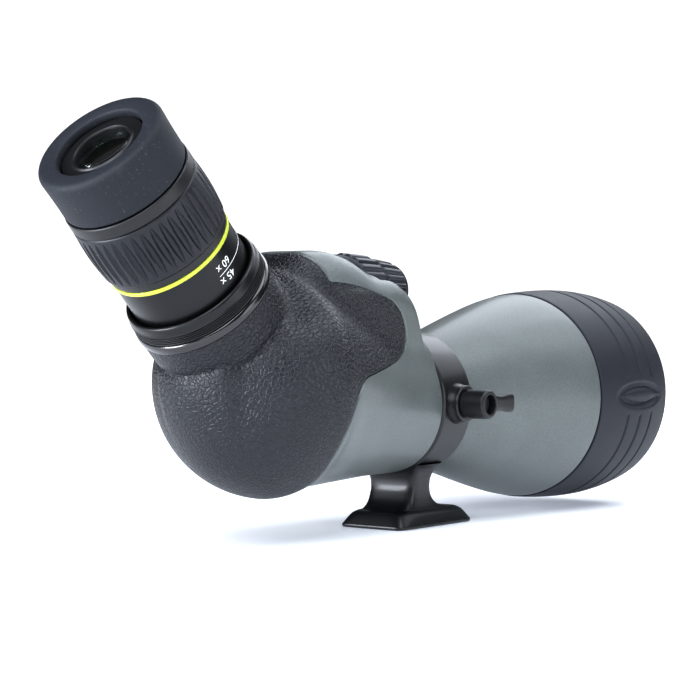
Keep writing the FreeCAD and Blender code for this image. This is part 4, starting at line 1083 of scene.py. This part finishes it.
class SCOPE_OT_eyecup(bpy.types.Operator):
    """Build the eyecup, the ring round the eye lens and the lens itself"""

    bl_idname = "scope.eyecup"
    bl_label = "Eyecup and eye lens"

    def execute(self, context):
        cup = rounded([(133.9, 25.4, 0.1), (133.9, 27.4, 0.3), (134.6, 27.9, 0.6), (143.0, 27.8, 4.0),
                       (155.34, 28.14, 2.8), (155.62, 23.0, 2.0), (154.9, 19.6, 0.8),
                       (153.4, 19.15, 0.6), (152.0, 19.1, 0.2), (152.0, 25.4, 0.2)], steps=12)
        solid("eyecup_skin", [lathe(EYE, refined(cup, 1.2), 192)], "eyecup", finish("cup"),
              ["eyecup_rubber"], sharp=50)
        ring = rounded([(128.0, 14.0, 0), (145.6, 14.0, 0), (145.6, 12.4, 0.1), (151.7, 12.4, 0.1),
                        (152.5, 12.75, 0.2), (152.65, 13.25, 0.25), (152.35, 13.7, 0.25), (151.8, 14.2, 0.5),
                        (151.75, 18.4, 0.1), (146.0, 18.4, 0.1), (146.0, 20.0, 0), (128.0, 20.0, 0)], steps=5)
        solid("eye_ring", [lathe(EYE, ring, 160)], "scope_body", finish("satin"), ["eye_cell"])
        radius, base, top, curve = 12.38, 146.0, 151.6, 30.0
        spread = np.linspace(0, 1, 28)[:, None] * radius
        dome = top + np.sqrt(curve ** 2 - spread ** 2) - curve
        face = np.array([(base, radius), (base, 0.0)])
        outline = np.vstack([np.hstack([dome, spread]), face])
        solid("eye_glass", [lathe(EYE, outline, 128, closed=False)], "scope_body", finish("glass"),
              ["eye_lens"])
        return {"FINISHED"}


# soft boxes round the scope: turn from the camera to its right, rise, size, power
LAMPS = (("left_low", -64, 5, 0.6, 27.0), ("left_high", -25, 38, 0.9, 19.0),
         ("right_low", 55, 8, 0.9, 8.0), ("behind_right", 120, 38, 0.9, 4.2),
         ("behind", 160, 38, 0.9, 8.2), ("top_right", 60, 66, 1.1, 14.5))
LAMP_DISTANCE = 1.5
LAMP_COLOUR = (0.88, 0.925, 1.0)
CAMERA_PLACE = (-0.78807, -0.55911, 0.10054)


class SCOPE_OT_stage(bpy.types.Operator):
    """Set the pale floor, which glows as painted light, the soft lights and the camera"""

    bl_idname = "scope.stage"
    bl_label = "Stage"

    def execute(self, context):
        scene = bpy.context.scene
        make = Finish("studio_floor", Emission_Strength=1.0)
        cloud = make.noise(400.0, 2.0)
        make.colour(make.ramp(cloud, (0.3, (0.93, 0.93, 0.93)), (0.7, (0.96, 0.96, 0.96))))
        ray = make.node("ShaderNodeVectorMath", {"operation": "LENGTH"}, {0: make.spot})
        away = Value(make, ray.outputs["Value"])
        # painted light: the floor glows, dimly and bluish near the scope, where it lifts the shadows and lights
        # the scope from below, and bright white further away
        painted_floor_light = make.ramp(make.above(away, 0.35, 1.3), (0.0, (0.2, 0.22, 0.26)), (1.0, (1.1, 1.1, 1.1)))
        make.feed(make.shader.inputs["Emission Color"], painted_floor_light)
        make.gloss(0.8 + 0.1 * cloud)
        floor = bpy.data.meshes.new("studio_floor")
        reach, level = 6.0, -0.0002
        floor.from_pydata([(-reach, -reach, level), (reach, -reach, level), (reach, reach, level),
                           (-reach, reach, level)], [], [(0, 1, 2, 3)])
        floor.materials.append(make.material)
        ground = bpy.data.objects.new("studio_floor", floor)
        scene.collection.objects.link(ground)

        world = bpy.data.worlds.new("studio")
        world.use_nodes = True
        seen = world.node_tree.nodes.new("ShaderNodeLightPath").outputs["Is Camera Ray"]
        brightness = world.node_tree.nodes.new("ShaderNodeMapRange")
        brightness.inputs["To Min"].default_value = 0.03
        brightness.inputs["To Max"].default_value = 1.05
        background = world.node_tree.nodes["Background"]
        background.inputs["Color"].default_value = (1.0, 1.0, 1.0, 1.0)
        world.node_tree.links.new(seen, brightness.inputs["Value"])
        world.node_tree.links.new(brightness.outputs[0], background.inputs["Strength"])
        scene.world = world

        turn, tilt = sizes().camera_turn, sizes().camera_tilt
        right = np.array([math.cos(turn), math.sin(turn), 0.0])
        forward = np.array([-math.sin(turn), math.cos(turn), 0.0])
        middle = np.array([-0.02, 0.0, 0.09])
        for name, round_by, rise, size, power in LAMPS:
            round_by, rise = math.radians(round_by), math.radians(rise)
            out = math.cos(rise) * (right * math.sin(round_by) - forward * math.cos(round_by))
            out[2] = math.sin(rise)
            lamp = bpy.data.lights.new(name, "AREA")
            lamp.energy = power
            lamp.size = size
            lamp.color = LAMP_COLOUR
            holder = bpy.data.objects.new(name, lamp)
            holder.location = middle + LAMP_DISTANCE * out
            holder.rotation_euler = Vector(-out).to_track_quat("-Z", "Y").to_euler()
            scene.collection.objects.link(holder)

        lens = bpy.data.cameras.new("camera")
        lens.lens = sizes().lens
        lens.sensor_width = 36.0
        lens.clip_start = 0.05
        camera = bpy.data.objects.new("camera", lens)
        camera.rotation_euler = (math.pi / 2 - tilt, 0.0, turn)
        camera.location = CAMERA_PLACE
        scene.collection.objects.link(camera)
        scene.camera = camera
        scene.view_settings.view_transform = "Standard"
        scene.view_settings.look = "Medium High Contrast"
        return {"FINISHED"}


class SCOPE_PT_panel(bpy.types.Panel):
    """The steps of the build and the sizes and colours that they use"""

    bl_idname = "SCOPE_PT_panel"
    bl_label = "Spotting scope"
    bl_space_type = "VIEW_3D"
    bl_region_type = "UI"
    bl_category = "Scope"

    def draw(self, context):
        layout = self.layout
        for step in STEPS:
            layout.operator(step.bl_idname)
        for group in (context.scene.scope_sizes, context.scene.scope_colours):
            box = layout.box()
            for word in group.__annotations__:
                box.prop(group, word)


STEPS = (SCOPE_OT_finishes, SCOPE_OT_housing, SCOPE_OT_armour, SCOPE_OT_barrel, SCOPE_OT_sunshade,
         SCOPE_OT_foot, SCOPE_OT_clamp, SCOPE_OT_knobs, SCOPE_OT_socket, SCOPE_OT_zoom, SCOPE_OT_marks,
         SCOPE_OT_eyecup, SCOPE_OT_stage)
CLASSES = (ScopeColours, ScopeSizes, *STEPS, SCOPE_PT_panel)


def register():
    for item in CLASSES:
        bpy.utils.register_class(item)
    bpy.types.Scene.scope_sizes = PointerProperty(type=ScopeSizes)
    bpy.types.Scene.scope_colours = PointerProperty(type=ScopeColours)


def unregister():
    del bpy.types.Scene.scope_colours
    del bpy.types.Scene.scope_sizes
    for item in reversed(CLASSES):
        bpy.utils.unregister_class(item)


def plain(box):
    return [[float(number) for number in corner] for corner in box]


def main():
    register()
    for step in STEPS:
        group, word = step.bl_idname.split(".")
        getattr(getattr(bpy.ops, group), word)()


if __name__ == "__main__":
    main()
